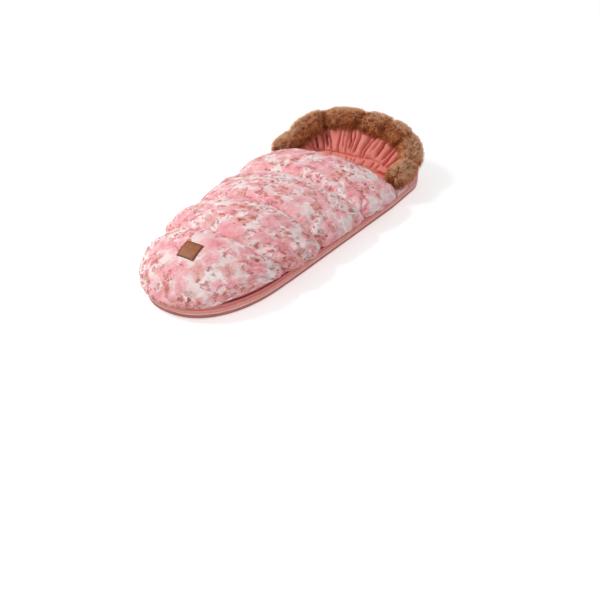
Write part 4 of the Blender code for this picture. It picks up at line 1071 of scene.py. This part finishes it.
def shellPoints(stations, shares):
    # from the rim (0) down the outside to the band (1)
    s, station = np.meshgrid(shares, stations, indexing="ij")
    up = 1 - s
    inset = 0.4 * np.interp(up, *hood["coarseLine"]) + 0.6 * np.interp(up, *hood["fineLine"])
    z = hood["low"] + (rimHeight(station) - hood["belowRim"] - hood["low"]) * up
    x, y = hoodPlan(station, inset)
    return np.stack([x, y, z], -1)


def foldNoise(length, width, seed):
    # uneven rounded folds along a line, 0 in a crease and 1 on top
    wander = 1.3 * valueNoise(length / (width * 1.8), seed)
    wander = wander + 0.4 * valueNoise(length / (width * 0.7), seed + 3)
    return np.abs(np.sin(np.pi * (length / width + wander))) ** 0.7


def hoodFolds(length, rows, shape):
    # creases above and below the lining's seam, and how far the cloth rises between them
    seam, shares = hood["seamShare"], np.broadcast_to(rows[:, None], shape)
    upper = creases(length, shares, hood["foldWidths"], 75, (0.55, 1.0))
    lower = creases(length, 1.5 * seam - 0.5 * shares, hood["lowFoldWidths"], 91, (0.9, 1.0))
    folds = np.where(shares < seam, upper, 0.75 * (lower * smoothStep(1.02, seam, shares)))
    sides = 1 + 1.2 * smoothStep(0.30, 0.42, np.abs(length / length[-1] - 0.5))[None]
    spots = np.stack([np.broadcast_to(length, shape) / 0.045, shares * 2.2], -1)
    puffs = 0.26 * sides * valueNoise(spots, 83, 2)
    held = 0.35 + 0.65 * smoothStep(0, 0.12, np.abs(shares - seam))
    held = held * smoothStep(0, 0.022, np.minimum(length, length[-1] - length))[None]
    rise = (folds + 0.34 + puffs) * hood["foldDepth"] * held
    return folds, rise * smoothStep(0.0, 0.08, shares) * smoothStep(1, 0.90, shares)


def buildHoodLining():
    stations, length = hoodStations(0.0034, 0.036)
    rows = np.concatenate([np.linspace(0, 0.10, 4)[:-1], np.linspace(0.10, 1, 31)])
    drift = 0.05 * valueNoise(length / 0.045, 71, 2)[None] * np.sin(np.pi * rows)[:, None] ** 2
    full = liningPoints(stations, rows[:, None] + drift)
    normals = gridNormals(full)
    folds, rise = hoodFolds(length, rows, full.shape[:2])
    start = full + normals * rise[..., None]
    seamRow = int(np.argmin(np.abs(rows - hood["seamShare"])))
    start[seamRow] -= normals[seamRow] * 0.0045
    pinned = sewnMask(full.shape[:2], [seamRow])
    swollen = runCloth(start, pinned, hood["liningPressure"], hood["liningFrames"], bending=0.2)
    start = capMove(start, swollen, hood["liningMoved"])
    grid = upsample(start, 2)
    piece = cloth("hood_gathered_lining", grid, hood["liningThickness"], flatPlaces(grid) + (0.3, 0.8))
    # how deep each crease is, for the painted shade in the lining's creases
    depths = np.clip(-upsample(folds[..., None], 2).ravel(), 0, 1)
    keepValues(piece, "creaseDepth", np.concatenate([depths, depths]))
    dress(piece, finishes["lining"], ["hood_lining", "hood_elastic", "hood_wadding"], "hood")


def buildHoodOuter(stations, length):
    # printed cloth, drawn in at the rim
    shares = np.linspace(0, 1, 22)
    full = shellPoints(stations, shares)
    pleat = np.stack([foldNoise(length + 0.01 * shift, hood["pleatWidth"], 133)
                      for shift in valueNoise(shares / 0.4, 5)])
    s = shares[:, None]
    depth = 0.0042 * (1 - s) ** 0.8 + 0.0012 * s
    held = smoothStep(0, 0.06, s) * smoothStep(1, 0.93, s)
    start = full - gridNormals(full) * ((pleat - 0.6) * depth * held)[..., None]
    pattern = np.zeros_like(full)
    pattern[..., 0] = lengthAlong(full[-1])[None] * hood["cutWider"]
    pattern[..., 1] = lengthAlong(full[:, len(stations) // 2])[:, None] * hood["cutTaller"]
    pinned = sewnMask(full.shape[:2])
    swollen = runCloth(start, pinned, hood["outerPressure"], hood["outerFrames"], pattern, bending=0.3)
    start = capMove(full, swollen, hood["outerMoved"])
    grid = upsample(start, 2)
    piece = cloth("hood_outer", grid, hood["outerThickness"], flatPlaces(grid) + (0.9, 0.4), True)
    dress(piece, finishes["print"], ["hood_shell"], "hood")


def closeHood(name, grid, flip):
    # a plain cloth between the hood's lining and its outside
    piece = cloth(name, grid, hood["closingThickness"], flatPlaces(grid), flip)
    dress(piece, finishes["lining"], [], "hood")


def buildHood():
    buildHoodLining()
    stations, length = hoodStations(0.0045, 0.0)
    buildHoodOuter(stations, length)
    steps = np.linspace(0, 1, 6)[:, None, None]
    inner, outer = liningPoints(stations, np.ones((1, len(stations))))[0], shellPoints(stations, [1.0])[0]
    under = inner * (1 - steps) + outer * steps
    under[1:-1, :, 2] -= 0.0006
    closeHood("hood_base_cloth", under, False)
    rows = np.linspace(0.04, 1, 24)
    for word, station, flip in (("right", -1.0, False), ("left", np.pi + 1, True)):
        inner = liningPoints(np.array([station]), rows[:, None])[:, 0]
        outer = shellPoints(np.array([station]), rows)[:, 0]
        end = inner[None] * (1 - steps) + outer[None] * steps
        end = end - np.array([0, 1.0, 0]) * 0.0022 * np.sin(np.pi * steps)
        closeHood("hood_end_cloth_" + word, end, flip)


buildHood()
report("hood made")


# Fur: a lobed roll under a pile of tapered hairs
fur = {
    "rollRadius": 0.0258, "crease": 0.0150, "lowered": 0.0030, "overhang": 0.50,
    "creases": ((0.150, 0.6), (0.280, 0.6), (0.397, 0.70), (0.528, 0.95), (0.705, 1.0), (0.860, 0.5)),
    "hairs": 30000, "hairLength": 0.0150, "hairWidth": 0.0013, "lean": 0.80, "droop": 0.25, "sweep": 0.20,
    "levels": ((0.0, 1.0), (0.45, 0.72), (0.8, 0.38)),      # along a hair, and how thick it is there
    "root": (106, 44, 16), "shade": (174, 84, 38), "middle": (250, 150, 82), "tip": (255, 192, 134),
    "pale": (255, 218, 182),
}


def furTrack(count):
    stations, length = hoodStations(0.8 / count, hood["rimInset"])
    x, y = hoodPlan(stations, hood["rimInset"])
    centre = np.stack([x, y, rimHeight(stations) + hood["furRadius"] - fur["lowered"]], 1)
    ahead = unit(np.gradient(centre, axis=0))
    outward = unit(np.stack([ahead[:, 1], -ahead[:, 0], 0 * x], 1))
    return centre, ahead, outward, np.cross(outward, ahead), length / length[-1]


def furLobes(share, turn, width=0.013):
    # 1 on a lobe, down to 0 in a crease between two
    lobe = np.ones_like(share)
    for k, (crease, depth) in enumerate(fur["creases"]):
        away = (share - crease - 0.007 * np.sin(turn * 1.5 + k)) / width
        lobe = lobe - depth * np.exp(-np.abs(away) ** 1.3)
    return np.clip(lobe, 0.0, 1)


def furRadius(share, turn):
    lobe = furLobes(share, turn)
    ends = np.minimum(share, 1 - share) / 0.022
    swell = 1 + 0.05 * np.sin(turn + 5 * share * np.pi)
    crown = smoothStep(0.16, 0.34, share) * smoothStep(0.97, 0.80, share)
    inward = fur["overhang"] * crown * np.clip(np.cos(turn - np.pi - 0.35), 0, 1) ** 1.5
    radius = (fur["rollRadius"] - fur["crease"] * (1 - lobe)) * (swell + inward)
    return radius * np.sqrt(np.clip(ends, 0.02, 1))


def furFinish():
    root, shade, middle, tip, pale = [colour(*fur[key]) for key in ("root", "shade", "middle", "tip", "pale")]
    finish = Finish("fur_pile", middle, 0.75, sheen=0.35, sheenTint=pale)
    # the hair tone kept on each hair is mostly painted light: paler on the roll's top and outer side, painted
    # shade in the creases between lobes, with some random tone
    share, patch = finish.kept("hairShare"), finish.kept("hairTone")
    fine = finish.noise(finish.objectPlace(), 420.0, flat=False)
    body = finish.mix(finish.step(patch, 0.10, 0.45), shade, middle)
    body = finish.mix(finish.step(patch, 0.50, 0.95), body, tip)
    deep = finish.mix(finish.step(patch, 0.45, 0.90), root, shade)
    tone = finish.mix(finish.step(share, 0.05, 0.55), deep, body)
    # painted highlight: pale ends on the long hairs of the lit top
    light = finish.math("ADD", share, finish.times(patch, 0.75))
    ends = finish.mix(finish.step(patch, 0.30, 0.72), tip, pale)
    tone = finish.mix(finish.step(light, 0.85, 1.35), tone, ends)
    finish.paint(finish.lay(tone, middle, fine, 0.3))
    finish.bump(fine, 0.0004, 0.4)
    return finish.material


def buildFurRoll(finish, centre, outward, up, share):
    turns = np.linspace(0, 2 * np.pi, 28, endpoint=False)
    outs = [math.cos(turn) * outward + math.sin(turn) * up for turn in turns]
    rings = np.array([centre + furRadius(share, turn)[:, None] * out for turn, out in zip(turns, outs)])
    roll = ringLoft("fur_roll", rings, False)
    for name, value in (("hairShare", 0.05), ("hairTone", 0.2)):
        keepValues(roll, name, np.full(len(roll.data.vertices), value))
    dress(roll, finish, ["fur_trim"], "hood")


def buildFurHairs(finish, centre, ahead, outward, up, share):
    # hairs leave the roll on a slant and droop, in tufts that share a direction
    count = fur["hairs"]
    local = np.random.default_rng(88)
    s = local.uniform(0.004, 0.996, count)
    turn = local.uniform(0, 2 * np.pi, count)
    c, a, o, u = [pointsAt(s, share, values) for values in (centre, ahead, outward, up)]
    a, o, u = unit(a), unit(o), unit(u)
    out = np.cos(turn)[:, None] * o + np.sin(turn)[:, None] * u
    around = -np.sin(turn)[:, None] * o + np.cos(turn)[:, None] * u
    root = c + out * (furRadius(s, turn) - 0.001)[:, None]
    tilt = np.clip(1 - np.minimum(s, 1 - s) / 0.035, 0, 1)[:, None]
    out = unit(out * (1 - 0.6 * tilt) + a * np.where(s < 0.5, -1, 1)[:, None] * tilt * 1.1)
    tuft = np.stack([s * 55, turn * 3.2], 1)
    swirl = valueNoise(tuft, 401) * 0.9 + local.normal(0, 0.35, count)
    sway = valueNoise(tuft, 433) * 0.9 + local.normal(0, 0.30, count)
    lean = fur["lean"] * (0.75 + 0.5 * local.uniform(size=count)) * (1 + 1.6 * tilt[:, 0])
    side = unit(a * swirl[:, None] + around * (sway * 0.8)[:, None] + 1e-6)
    direction = unit(out + side * (lean * np.minimum(1, np.hypot(swirl, sway)))[:, None])
    length = fur["hairLength"] * local.uniform(0.65, 1.25, count)
    droop = np.array([0, 0, -1.0]) * (fur["droop"] * length)[:, None]
    droop = droop + side * (fur["sweep"] * length)[:, None]
    across = unit(np.cross(direction, out + 0.3 * a))
    other = np.cross(direction, across)
    width = fur["hairWidth"] * local.uniform(0.7, 1.2, count)
    # painted light: hairs facing up and out get a paler tone, and hairs in the creases between lobes a darker
    # one (painted shade); the noise adds random tone
    paintedTopLight = np.clip(0.5 + 0.5 * (np.cos(turn) * 0.25 + np.sin(turn) * 0.97), 0, 1)
    lobe = furLobes(s, turn, 0.015)
    tone = 0.95 * paintedTopLight ** 1.8 + 0.30 * (0.4 + 0.6 * valueNoise(np.stack([s * 34, turn * 2.0], 1), 451))
    tone = np.clip((tone + local.normal(0, 0.12, count)) * (0.25 + 0.75 * lobe), 0, 1)
    # three rings of three points and a tip for each hair
    points = []
    for level, thin in fur["levels"]:
        spot = root + direction * (length * level)[:, None] + droop * level ** 2
        for swing in 2 * math.pi * np.arange(3) / 3:
            spread = math.cos(swing) * across + math.sin(swing) * other
            points.append(spot + spread * (width * 0.5 * thin)[:, None])
    points.append(root + direction * length[:, None] + droop)
    levels = np.append(np.repeat([level for level, thin in fur["levels"]], 3), 1.0)
    faces = copiesOf(gridFaces(3, 3, loopColumns=True), count, 10)
    faces += copiesOf([(6, 7, 9), (7, 8, 9), (8, 6, 9)], count, 10) + copiesOf([(2, 1, 0)], count, 10)
    hairs = makeMesh("fur_hairs", np.stack(points, 1).reshape(-1, 3), faces)
    # painted shade: hairs in the creases between lobes take the colour of the dark roots further along
    keepValues(hairs, "hairShare", ((0.45 + 0.55 * lobe)[:, None] * levels).ravel())
    keepValues(hairs, "hairTone", np.repeat(tone, 10))
    dress(hairs, finish, [], "hood")


def buildFur():
    finish = furFinish()
    centre, ahead, outward, up, share = furTrack(240)
    buildFurRoll(finish, centre, outward, up, share)
    buildFurHairs(finish, centre, ahead, outward, up, share)


buildFur()
report("fur made")


# Back: a fabric tray outside, and a quilted lining that folds over the side wall
back = {
    "step": 0.009, "columns": 61, "lowPoint": 0.0065, "quiltInset": 0.0153, "quiltFloor": 0.0152,
    "quiltSpacing": 0.075, "quiltRise": 0.0030, "puckerSpacing": 0.016, "puckerRise": 0.0012, "filling": 0.3,
    "grooveSpacing": 0.155, "grooveRise": 0.0030, "trayThickness": 0.0012, "liningThickness": 0.0011,
    # each wall from its floor up: how far in, and how high
    "trayWall": ((0.0045, 0.0004), (0.0022, 0.0014), (0.0006, 0.0032), (0.0, 0.0055), (-0.0003, 0.0085),
                 (0.0, 0.0115)),
    "liningWall": ((0.0118, 0.0156), (0.0098, 0.0180), (0.0093, 0.0215), (0.0093, 0.0300), (0.0088, 0.0330),
                   (0.0072, 0.0343), (0.0050, 0.0347), (0.0030, 0.0342), (0.0022, 0.0325), (0.0020, 0.0290)),
    "turnedUp": 0.0155,
    "slotHalfLength": 0.024, "slotHalfWidth": 0.006, "slotPoints": 48,
    "slots": {"crotch_slot": (0.0, footEnd + 0.400),
              "lower_shoulder_slot_left": (-0.055, footEnd + 0.655),
              "lower_shoulder_slot_right": (0.055, footEnd + 0.655),
              "upper_shoulder_slot_left": (-0.055, footEnd + 0.715),
              "upper_shoulder_slot_right": (0.055, footEnd + 0.715)},
}


def planGrid(inset):
    # a grid over the whole plan of the bag whose edges follow its outline
    step, footLength, headLength = back["step"], bag["footLength"], bag["headLength"]
    footTop, u = footEnd + footLength, np.linspace(-1, 1, back["columns"])

    def roundRow(centre, length, power, share):
        dx, dy, reach = discPlaces(u, share)
        plan = rimDistance(dx, dy, power) * np.minimum(reach, 1)
        y = centre + (abs(length) - inset) * plan * dy * np.sign(length)
        return np.stack([(halfWidth(y) - inset) * plan * dx, y], 1)

    rows = [roundRow(footTop, footLength, bag["footPower"], share)
            for share in np.linspace(-1, 0, int(footLength / step))[:-1]]
    rows += [np.stack([(halfWidth(y) - inset) * u, np.full(len(u), y)], 1)
             for y in np.arange(footTop, headStart, step)]
    rows += [roundRow(headStart, -headLength, bag["headPower"], share)
             for share in np.linspace(0, -1, int(headLength / step) + 3)]
    return np.array(rows)


def wallRings(wall):
    # the edge of the plan, further in or out and at a height, once for each pair
    rings = []
    for inset, height in wall:
        grid = planGrid(inset)
        ring = grid.reshape(-1, 2)[edgeLoop(*grid.shape[:2])]
        rings.append(np.column_stack([ring, np.full(len(ring), height)]))
    return rings


def trayMesh(name, floor, wall, thickness, flip):
    # a floor grid with rings of wall round its edge, made a closed sheet
    edge = edgeLoop(*floor.shape[:2])
    points, faces = floor.reshape(-1, 3), gridFaces(*floor.shape[:2]).tolist()
    rim, rimHeights, last = points[edge][:, :2], points[edge][:, 2], edge
    away = unit(rim - np.array([0, (footEnd + headEnd) / 2]))
    places = points[:, :2]
    for ring in wall:
        here = list(range(len(points), len(points) + len(edge)))
        faces += [(b, a, c, d) for a, b, c, d in zip(last, last[1:] + last[:1], here, here[1:] + here[:1])]
        points, last = np.concatenate([points, ring]), here
        places = np.concatenate([places, rim + away * np.abs(ring[:, 2] - rimHeights)[:, None]])
    if flip:
        faces = [face[::-1] for face in faces]
    piece = makeMesh(name, points, faces, places)
    solid = piece.modifiers.new("thickness", "SOLIDIFY")
    solid.thickness, solid.offset = thickness, -1
    return piece


def stadium(x, y, grow):
    # the outline of a slot
    count, radius = back["slotPoints"], back["slotHalfWidth"] + grow
    angles = np.linspace(0, 2 * np.pi, count, endpoint=False) + np.pi / count
    straight = back["slotHalfLength"] - back["slotHalfWidth"]
    across = np.sign(np.cos(angles)) * straight + radius * np.cos(angles)
    return np.stack([x + across, y + radius * np.sin(angles)], 1)


def slotFade(x, y):
    fade = np.ones_like(x)
    for sx, sy in back["slots"].values():
        away = np.hypot(np.maximum(np.abs(x - sx) - back["slotHalfLength"], 0),
                        np.maximum(np.abs(y - sy) - back["slotHalfWidth"], 0))
        fade = fade * smoothStep(0.004, 0.018, away)
    return fade


def cutSlots(piece):
    # the slots cut out, and every modifier made part of the mesh
    points, faces, count = [], [], back["slotPoints"]
    for x, y in back["slots"].values():
        start, outline = len(points), stadium(x, y, 0.0)
        points += [(a, b, z) for z in (-0.02, 0.05) for a, b in outline]
        faces += [[start + k for k in reversed(range(count))], [start + count + k for k in range(count)]]
        faces += gridFaces(2, count, loopColumns=True, start=start).tolist()
    cutter = makeMesh("slot_cutter", points, faces)
    cut = piece.modifiers.new("slots", "BOOLEAN")
    cut.operation, cut.solver, cut.object = "DIFFERENCE", "EXACT", cutter
    made = bpy.data.meshes.new_from_object(piece.evaluated_get(bpy.context.evaluated_depsgraph_get()))
    old = piece.data
    piece.modifiers.clear()
    piece.data = made
    made.name = piece.name
    bpy.data.meshes.remove(old)
    made.shade_smooth()
    bpy.data.objects.remove(cutter, do_unlink=True)
    tidyNormals(piece)


def buildUnderside():
    grid = planGrid(back["lowPoint"])
    y, spacing = grid[..., 1], back["grooveSpacing"]
    groove = np.exp(-(((y - footEnd + 0.02) % spacing - spacing / 2) / 0.004) ** 2)
    edgeShare = np.clip((0.95 - np.abs(np.linspace(-1, 1, back["columns"])))[None, :] / 0.1, 0, 1)
    z = groove * back["grooveRise"] + 0.0005 * (1 + valueNoise(grid * 40, 611)) * 0.5
    floor, wall = np.dstack([grid, z * edgeShare * slotFade(grid[..., 0], y)]), wallRings(back["trayWall"])
    tray = trayMesh("underside_tray", floor, wall, back["trayThickness"], True)
    cutSlots(tray)
    dress(tray, finishes["under"], ["back_shell", "back_wadding"], "bag")
    turnedUp = back["turnedUp"]
    area, wide = sheetArea(floor)
    area += float(lengthAlong(np.concatenate([wall[-1], wall[-1][:1]]))[-1]) * turnedUp


def buildQuiltedLining():
    grid = planGrid(back["quiltInset"])
    x, y = grid[..., 0], grid[..., 1]
    phase = np.abs(np.sin(np.pi * (y - footEnd + 0.002 * valueNoise(grid * 9, 631)) / back["quiltSpacing"]))
    columnShare = np.abs(np.linspace(-1, 1, back["columns"]))[None, :]
    pucker = np.abs(np.sin(np.pi * (x / back["puckerSpacing"] + 0.8 * valueNoise(grid * 30, 641)))) - 0.5
    rise = back["quiltRise"] * np.sqrt(phase) * smoothStep(1.0, 0.86, columnShare)
    rise = rise + pucker * back["puckerRise"] * np.exp(-(phase / 0.35) ** 2)
    inHood = smoothStep(hoodStart - 0.01, hoodStart + 0.02, y) * smoothStep(0.45, 0.75, columnShare)
    floor = np.dstack([grid, back["quiltFloor"] + rise * slotFade(x, y) * (1 - inHood)])
    lining = trayMesh("quilted_lining", floor, wallRings(back["liningWall"]), back["liningThickness"], False)
    cutSlots(lining)
    dress(lining, finishes["lining"], ["back_lining", "side_wadding"], "bag")


def bindSlots():
    profile = [(-0.0015, 0.0006), (-0.0003, 0.0004), (-0.0003, 0.0155)]
    profile += [(0.0017 + 0.0017 * math.cos(a), 0.0163 + 0.0008 * math.sin(a))
                for a in np.linspace(-2.2, 2.2, 7)]
    profile += [(-0.0006, 0.0172), (-0.0014, 0.0166), (-0.0016, 0.0150)]
    count = back["slotPoints"]
    around, length = np.linspace(0, 0.03, len(profile)), np.linspace(0, 0.13, count)
    places = np.stack(np.broadcast_arrays(around[:, None], length[None]), -1)
    for name, spot in back["slots"].items():
        rings = np.array([np.column_stack([stadium(*spot, grow), np.full(count, z)]) for grow, z in profile])
        dress(ringLoft(name + "_trim", rings, True, places), finishes["binding"],
              [name + "_binding"], "bag")


buildUnderside()
buildQuiltedLining()
bindSlots()
report("back made")


# Stitches: short raised threads laid along a line of points
stitch = {"bandLength": 0.0028, "bandGap": 0.0012, "labelLength": 0.0026, "labelGap": 0.0010,
          "radius": 0.00035, "bandHeights": {"upper": 0.0253, "lower": 0.0192}, "bandOut": 0.0007}
threadFinish = plainCloth("thread", (238, 170, 162), (220, 140, 132), 0.0003, 0.6, 0.2, 0.00008)
leatherThread = plainCloth("label_thread", (120, 74, 44), (92, 54, 32), 0.0003, 0.6, 0.1, 0.00008)


def stitches(name, path, normals, length, gap, finish):
    # each stitch is five rings of five points: where along it, how thick and how high
    points, along = resample(path, length + gap)
    lift = pointsAt(along, np.linspace(0, along[-1], len(normals)), normals)
    ahead, lift, radius = unit(np.gradient(points, axis=0)), unit(lift), stitch["radius"]
    side = unit(np.cross(ahead, lift))
    rings = []
    for share, thick, height in ((-0.5, 0.15, -0.5), (-0.38, 0.8, 0.25), (0.0, 1.0, 0.6), (0.38, 0.8, 0.25),
                                 (0.5, 0.15, -0.5)):
        for a in 2 * math.pi * np.arange(5) / 5:
            rings.append(points + ahead * share * length + lift * radius * (height + thick * math.sin(a))
                         + side * radius * thick * math.cos(a))
    vertices = np.stack(rings, 1).reshape(-1, 3)
    faces = copiesOf(gridFaces(5, 5, loopColumns=True), len(points), 25)
    faces += copiesOf([(4, 3, 2, 1, 0), (20, 21, 22, 23, 24)], len(points), 25)
    dress(makeMesh(name, vertices, faces, vertices[:, :2]), finish, [], "bag")


def buildBandStitches():
    ring = wholePath(0.004)
    outward = sideways(ring, True)
    normals = np.column_stack([outward, np.zeros(len(ring))])
    for word, height in stitch["bandHeights"].items():
        path = np.column_stack([ring + outward * stitch["bandOut"], np.full(len(ring), height)])
        stitches("band_stitches_" + word, path, normals, stitch["bandLength"], stitch["bandGap"],
                 threadFinish)


buildBandStitches()


# Leather label: bare, stitched round its edge
label = {"side": 0.054, "y": footEnd + 0.102, "corner": 0.0035, "thickness": 0.0019, "stitchInset": 0.0038,
         "points": 41, "rounding": 0.0006, "stitchDip": 0.0003, "bedding": 0.85,
         "face": (148, 80, 40), "edge": (98, 52, 28), "light": (164, 96, 52)}


def leatherFinish():
    half = label["side"] / 2
    face, edge = colour(*label["face"]), colour(*label["edge"])
    finish = Finish("label_leather", face, 0.48)
    place = finish.clothPlace()
    parts = finish.add("SeparateXYZ", None, {"Vector": place})
    away = finish.math("MAXIMUM", finish.math("ABSOLUTE", parts[0]), finish.math("ABSOLUTE", parts[1]))
    worn = finish.noise(place, 60.0, 4.0, 0.6)
    tone = finish.mix(finish.step(worn, 0.35, 0.7), face, colour(*label["light"]))
    away = finish.math("ADD", away, finish.times(worn, 0.003))
    tone = finish.mix(finish.step(away, half - 0.0035, half + 0.0008), tone, edge)
    grain = finish.cells(place, 0.0011, 1.0)["Distance"]
    finish.paint(finish.lay(tone, edge, finish.step(grain, 0.25, 0.7), 0.18))
    finish.bump(grain, 0.00018, 0.5, finish.bump(worn, 0.0004, 0.3))
    return finish.material


def buildLabel():
    # a stiff patch that beds into the cover under it
    tree = BVHTree.FromPolygons(coverGrids["foot"].reshape(-1, 3).tolist(),
                                gridFaces(*coverGrids["foot"].shape[:2]).tolist())
    ground = lambda x, y: tree.ray_cast(Vector((float(x), float(y), 1.0)), Vector((0, 0, -1)))[0].z
    half, middle, corner, count = label["side"] / 2, label["y"], label["corner"], label["points"]
    slopeY = (ground(0, middle + half) - ground(0, middle - half)) / (2 * half)
    slopeX = (ground(half, middle) - ground(-half, middle)) / (2 * half)
    shares = np.linspace(-1, 1, count)
    shares = np.sign(shares) * (1 - (1 - np.abs(shares)) ** 1.15)
    a, b = np.meshgrid(shares * half, shares * half)
    over = np.minimum(np.abs(a), np.abs(b)) - (half - corner)
    pull = np.where(over > 0, (1 - 1 / np.sqrt(2)) * (over / corner) ** 2 * corner, 0)   # round corners
    a, b = a - np.sign(a) * pull, b - np.sign(b) * pull
    x, y = a * (1 / math.hypot(1, slopeX)), middle + b * (1 / math.hypot(1, slopeY))
    height = np.array([[ground(p, q) for p, q in zip(r, s)] for r, s in zip(x, y)])
    terms = np.stack([term.ravel() for term in (np.ones_like(a), a, b, a ** 2, b ** 2, a * b)], 1)
    fit = (terms @ np.linalg.lstsq(terms, height.ravel(), rcond=None)[0]).reshape(a.shape)
    fit = fit + np.maximum(height - fit, 0).max() * label["bedding"] + 0.0003
    edgeShare = np.maximum(np.abs(a), np.abs(b)) / half
    low = np.dstack([x, y, fit + (height + 0.0004 - fit) * smoothStep(0.55, 1.0, edgeShare)])
    rounding = label["rounding"] * smoothStep(0.93, 1.0, edgeShare) ** 2
    dip = label["stitchDip"] * np.exp(-((edgeShare - 1 + label["stitchInset"] / half) / 0.018) ** 2)
    normal = unit(np.array([-slopeX, -slopeY, 1.0]))
    top = low + normal * (label["thickness"] - rounding - dip)[..., None]
    patch = tidyNormals(closedSheet("label_patch", top, low, np.dstack([a, b])))
    dress(patch, leatherFinish(), ["leather_label"], "bag")
    # its stitches follow the patch's top
    inset = half - label["stitchInset"]
    square = [(-inset, -inset), (inset, -inset), (inset, inset), (-inset, inset), (-inset, -inset)]
    spots = []
    for i, j in np.interp(resample(square, 0.002)[0], shares * half, np.arange(count)):
        i0, j0 = min(int(i), count - 2), min(int(j), count - 2)
        s, t = i - i0, j - j0
        spots.append(top[j0, i0] * (1 - s) * (1 - t) + top[j0, i0 + 1] * s * (1 - t)
                     + top[j0 + 1, i0] * (1 - s) * t + top[j0 + 1, i0 + 1] * s * t)
    stitches("label_stitches", np.array(spots), np.tile(normal, (len(spots), 1)), stitch["labelLength"],
             stitch["labelGap"], leatherThread)


buildLabel()
report("label and stitches made")


# Zip metal and stops keep their solids, with worn cast metal and moulded plastic
def metalFinish():
    finish = Finish("zip_metal", (0.62, 0.60, 0.58, 1), 0.3, 1.0)
    place = finish.objectPlace()
    wear = finish.noise(place, 700.0, 4.0, 0.65, flat=False)
    finish.fill(finish.sockets["Roughness"], finish.math("MULTIPLY_ADD", wear, 0.22, 0.20))
    finish.paint(finish.mix(finish.step(wear, 0.35, 0.7), colour(214, 210, 206), colour(168, 164, 160)))
    finish.bump(finish.noise(place, 1500.0, flat=False), 0.00006, 0.3)
    return finish.material


def stopFinish():
    finish = Finish("zip_stop", colour(176, 78, 78), 0.4)
    grain = finish.noise(finish.objectPlace(), 900.0, 3.0, flat=False)
    finish.paint(finish.mix(grain, colour(184, 86, 84), colour(150, 60, 60)))
    finish.bump(grain, 0.0001, 0.3)
    return finish.material


metal, plastic = metalFinish(), stopFinish()
for node, finish in (("zip_slider_", metal), ("pull_tab_", metal), ("base_zip_stop_", plastic),
                     ("cover_zip_stop_", plastic)):
    for side in ("left", "right"):
        bpy.data.objects[node + side].material_slots[0].material = finish
report("metal finished")


# Floor and light
studio = {
    "floorSize": 6, "floorHeight": -0.0005, "floorGlow": 0.50, "skyLight": 0.42, "skySeen": 0.93,
    "lamps": {"key": {"place": (-1.7, -0.9, 2.3), "size": 1.1, "power": 54},
              "fill": {"place": (2.2, -1.6, 1.6), "size": 2.0, "power": 13}},
}


def seenShare(nodes):
    # 1 for rays that show the floor or the background, 0 for the light that they give
    path = nodes.add("LightPath")
    return nodes.math("MAXIMUM", path["Is Camera Ray"],
                      nodes.math("MAXIMUM", path["Is Glossy Ray"], path["Is Transmission Ray"]))


def buildFloor():
    finish = Finish("floor", (0.9, 0.9, 0.9, 1), 0.9)
    finish.sockets["Emission Color"].default_value = (1, 1, 1, 1)
    finish.fill(finish.sockets["Emission Strength"], finish.times(seenShare(finish), studio["floorGlow"]))
    size = studio["floorSize"]
    mesh = bpy.data.meshes.new("floor")
    corners = [(x * size, y * size, studio["floorHeight"]) for x, y in ((-1, -1), (1, -1), (1, 1), (-1, 1))]
    mesh.from_pydata(corners, [], [(0, 1, 2, 3)])
    mesh.materials.append(finish.material)
    floor = bpy.data.objects.new("floor", mesh)
    scene.collection.objects.link(floor)
    floor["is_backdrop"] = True


def buildLight():
    scene.world = bpy.data.worlds.new("studio")
    scene.world.use_nodes = True
    sky = Nodes(scene.world.node_tree)
    background = sky.tree.nodes["Background"].inputs
    background["Color"].default_value = (1, 1, 1, 1)
    light = sky.add("MapRange", None, {"Value": seenShare(sky), "To Min": studio["skyLight"],
                                       "To Max": studio["skySeen"]})
    sky.fill(background["Strength"], light["Result"])
    for name, values in studio["lamps"].items():
        lamp = bpy.data.lights.new(name, "AREA")
        lamp.size, lamp.energy = values["size"], values["power"]
        holder = bpy.data.objects.new(name, lamp)
        holder.location = values["place"]
        back = Vector(values["place"]) - Vector((0, 0, 0.05))
        holder.rotation_euler = back.to_track_quat("Z", "Y").to_euler()
        scene.collection.objects.link(holder)
    scene.view_settings.view_transform = "Standard"


buildFloor()
buildLight()
{"cad": cadBounds, "visual": [list(corner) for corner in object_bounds()]}
report("done")
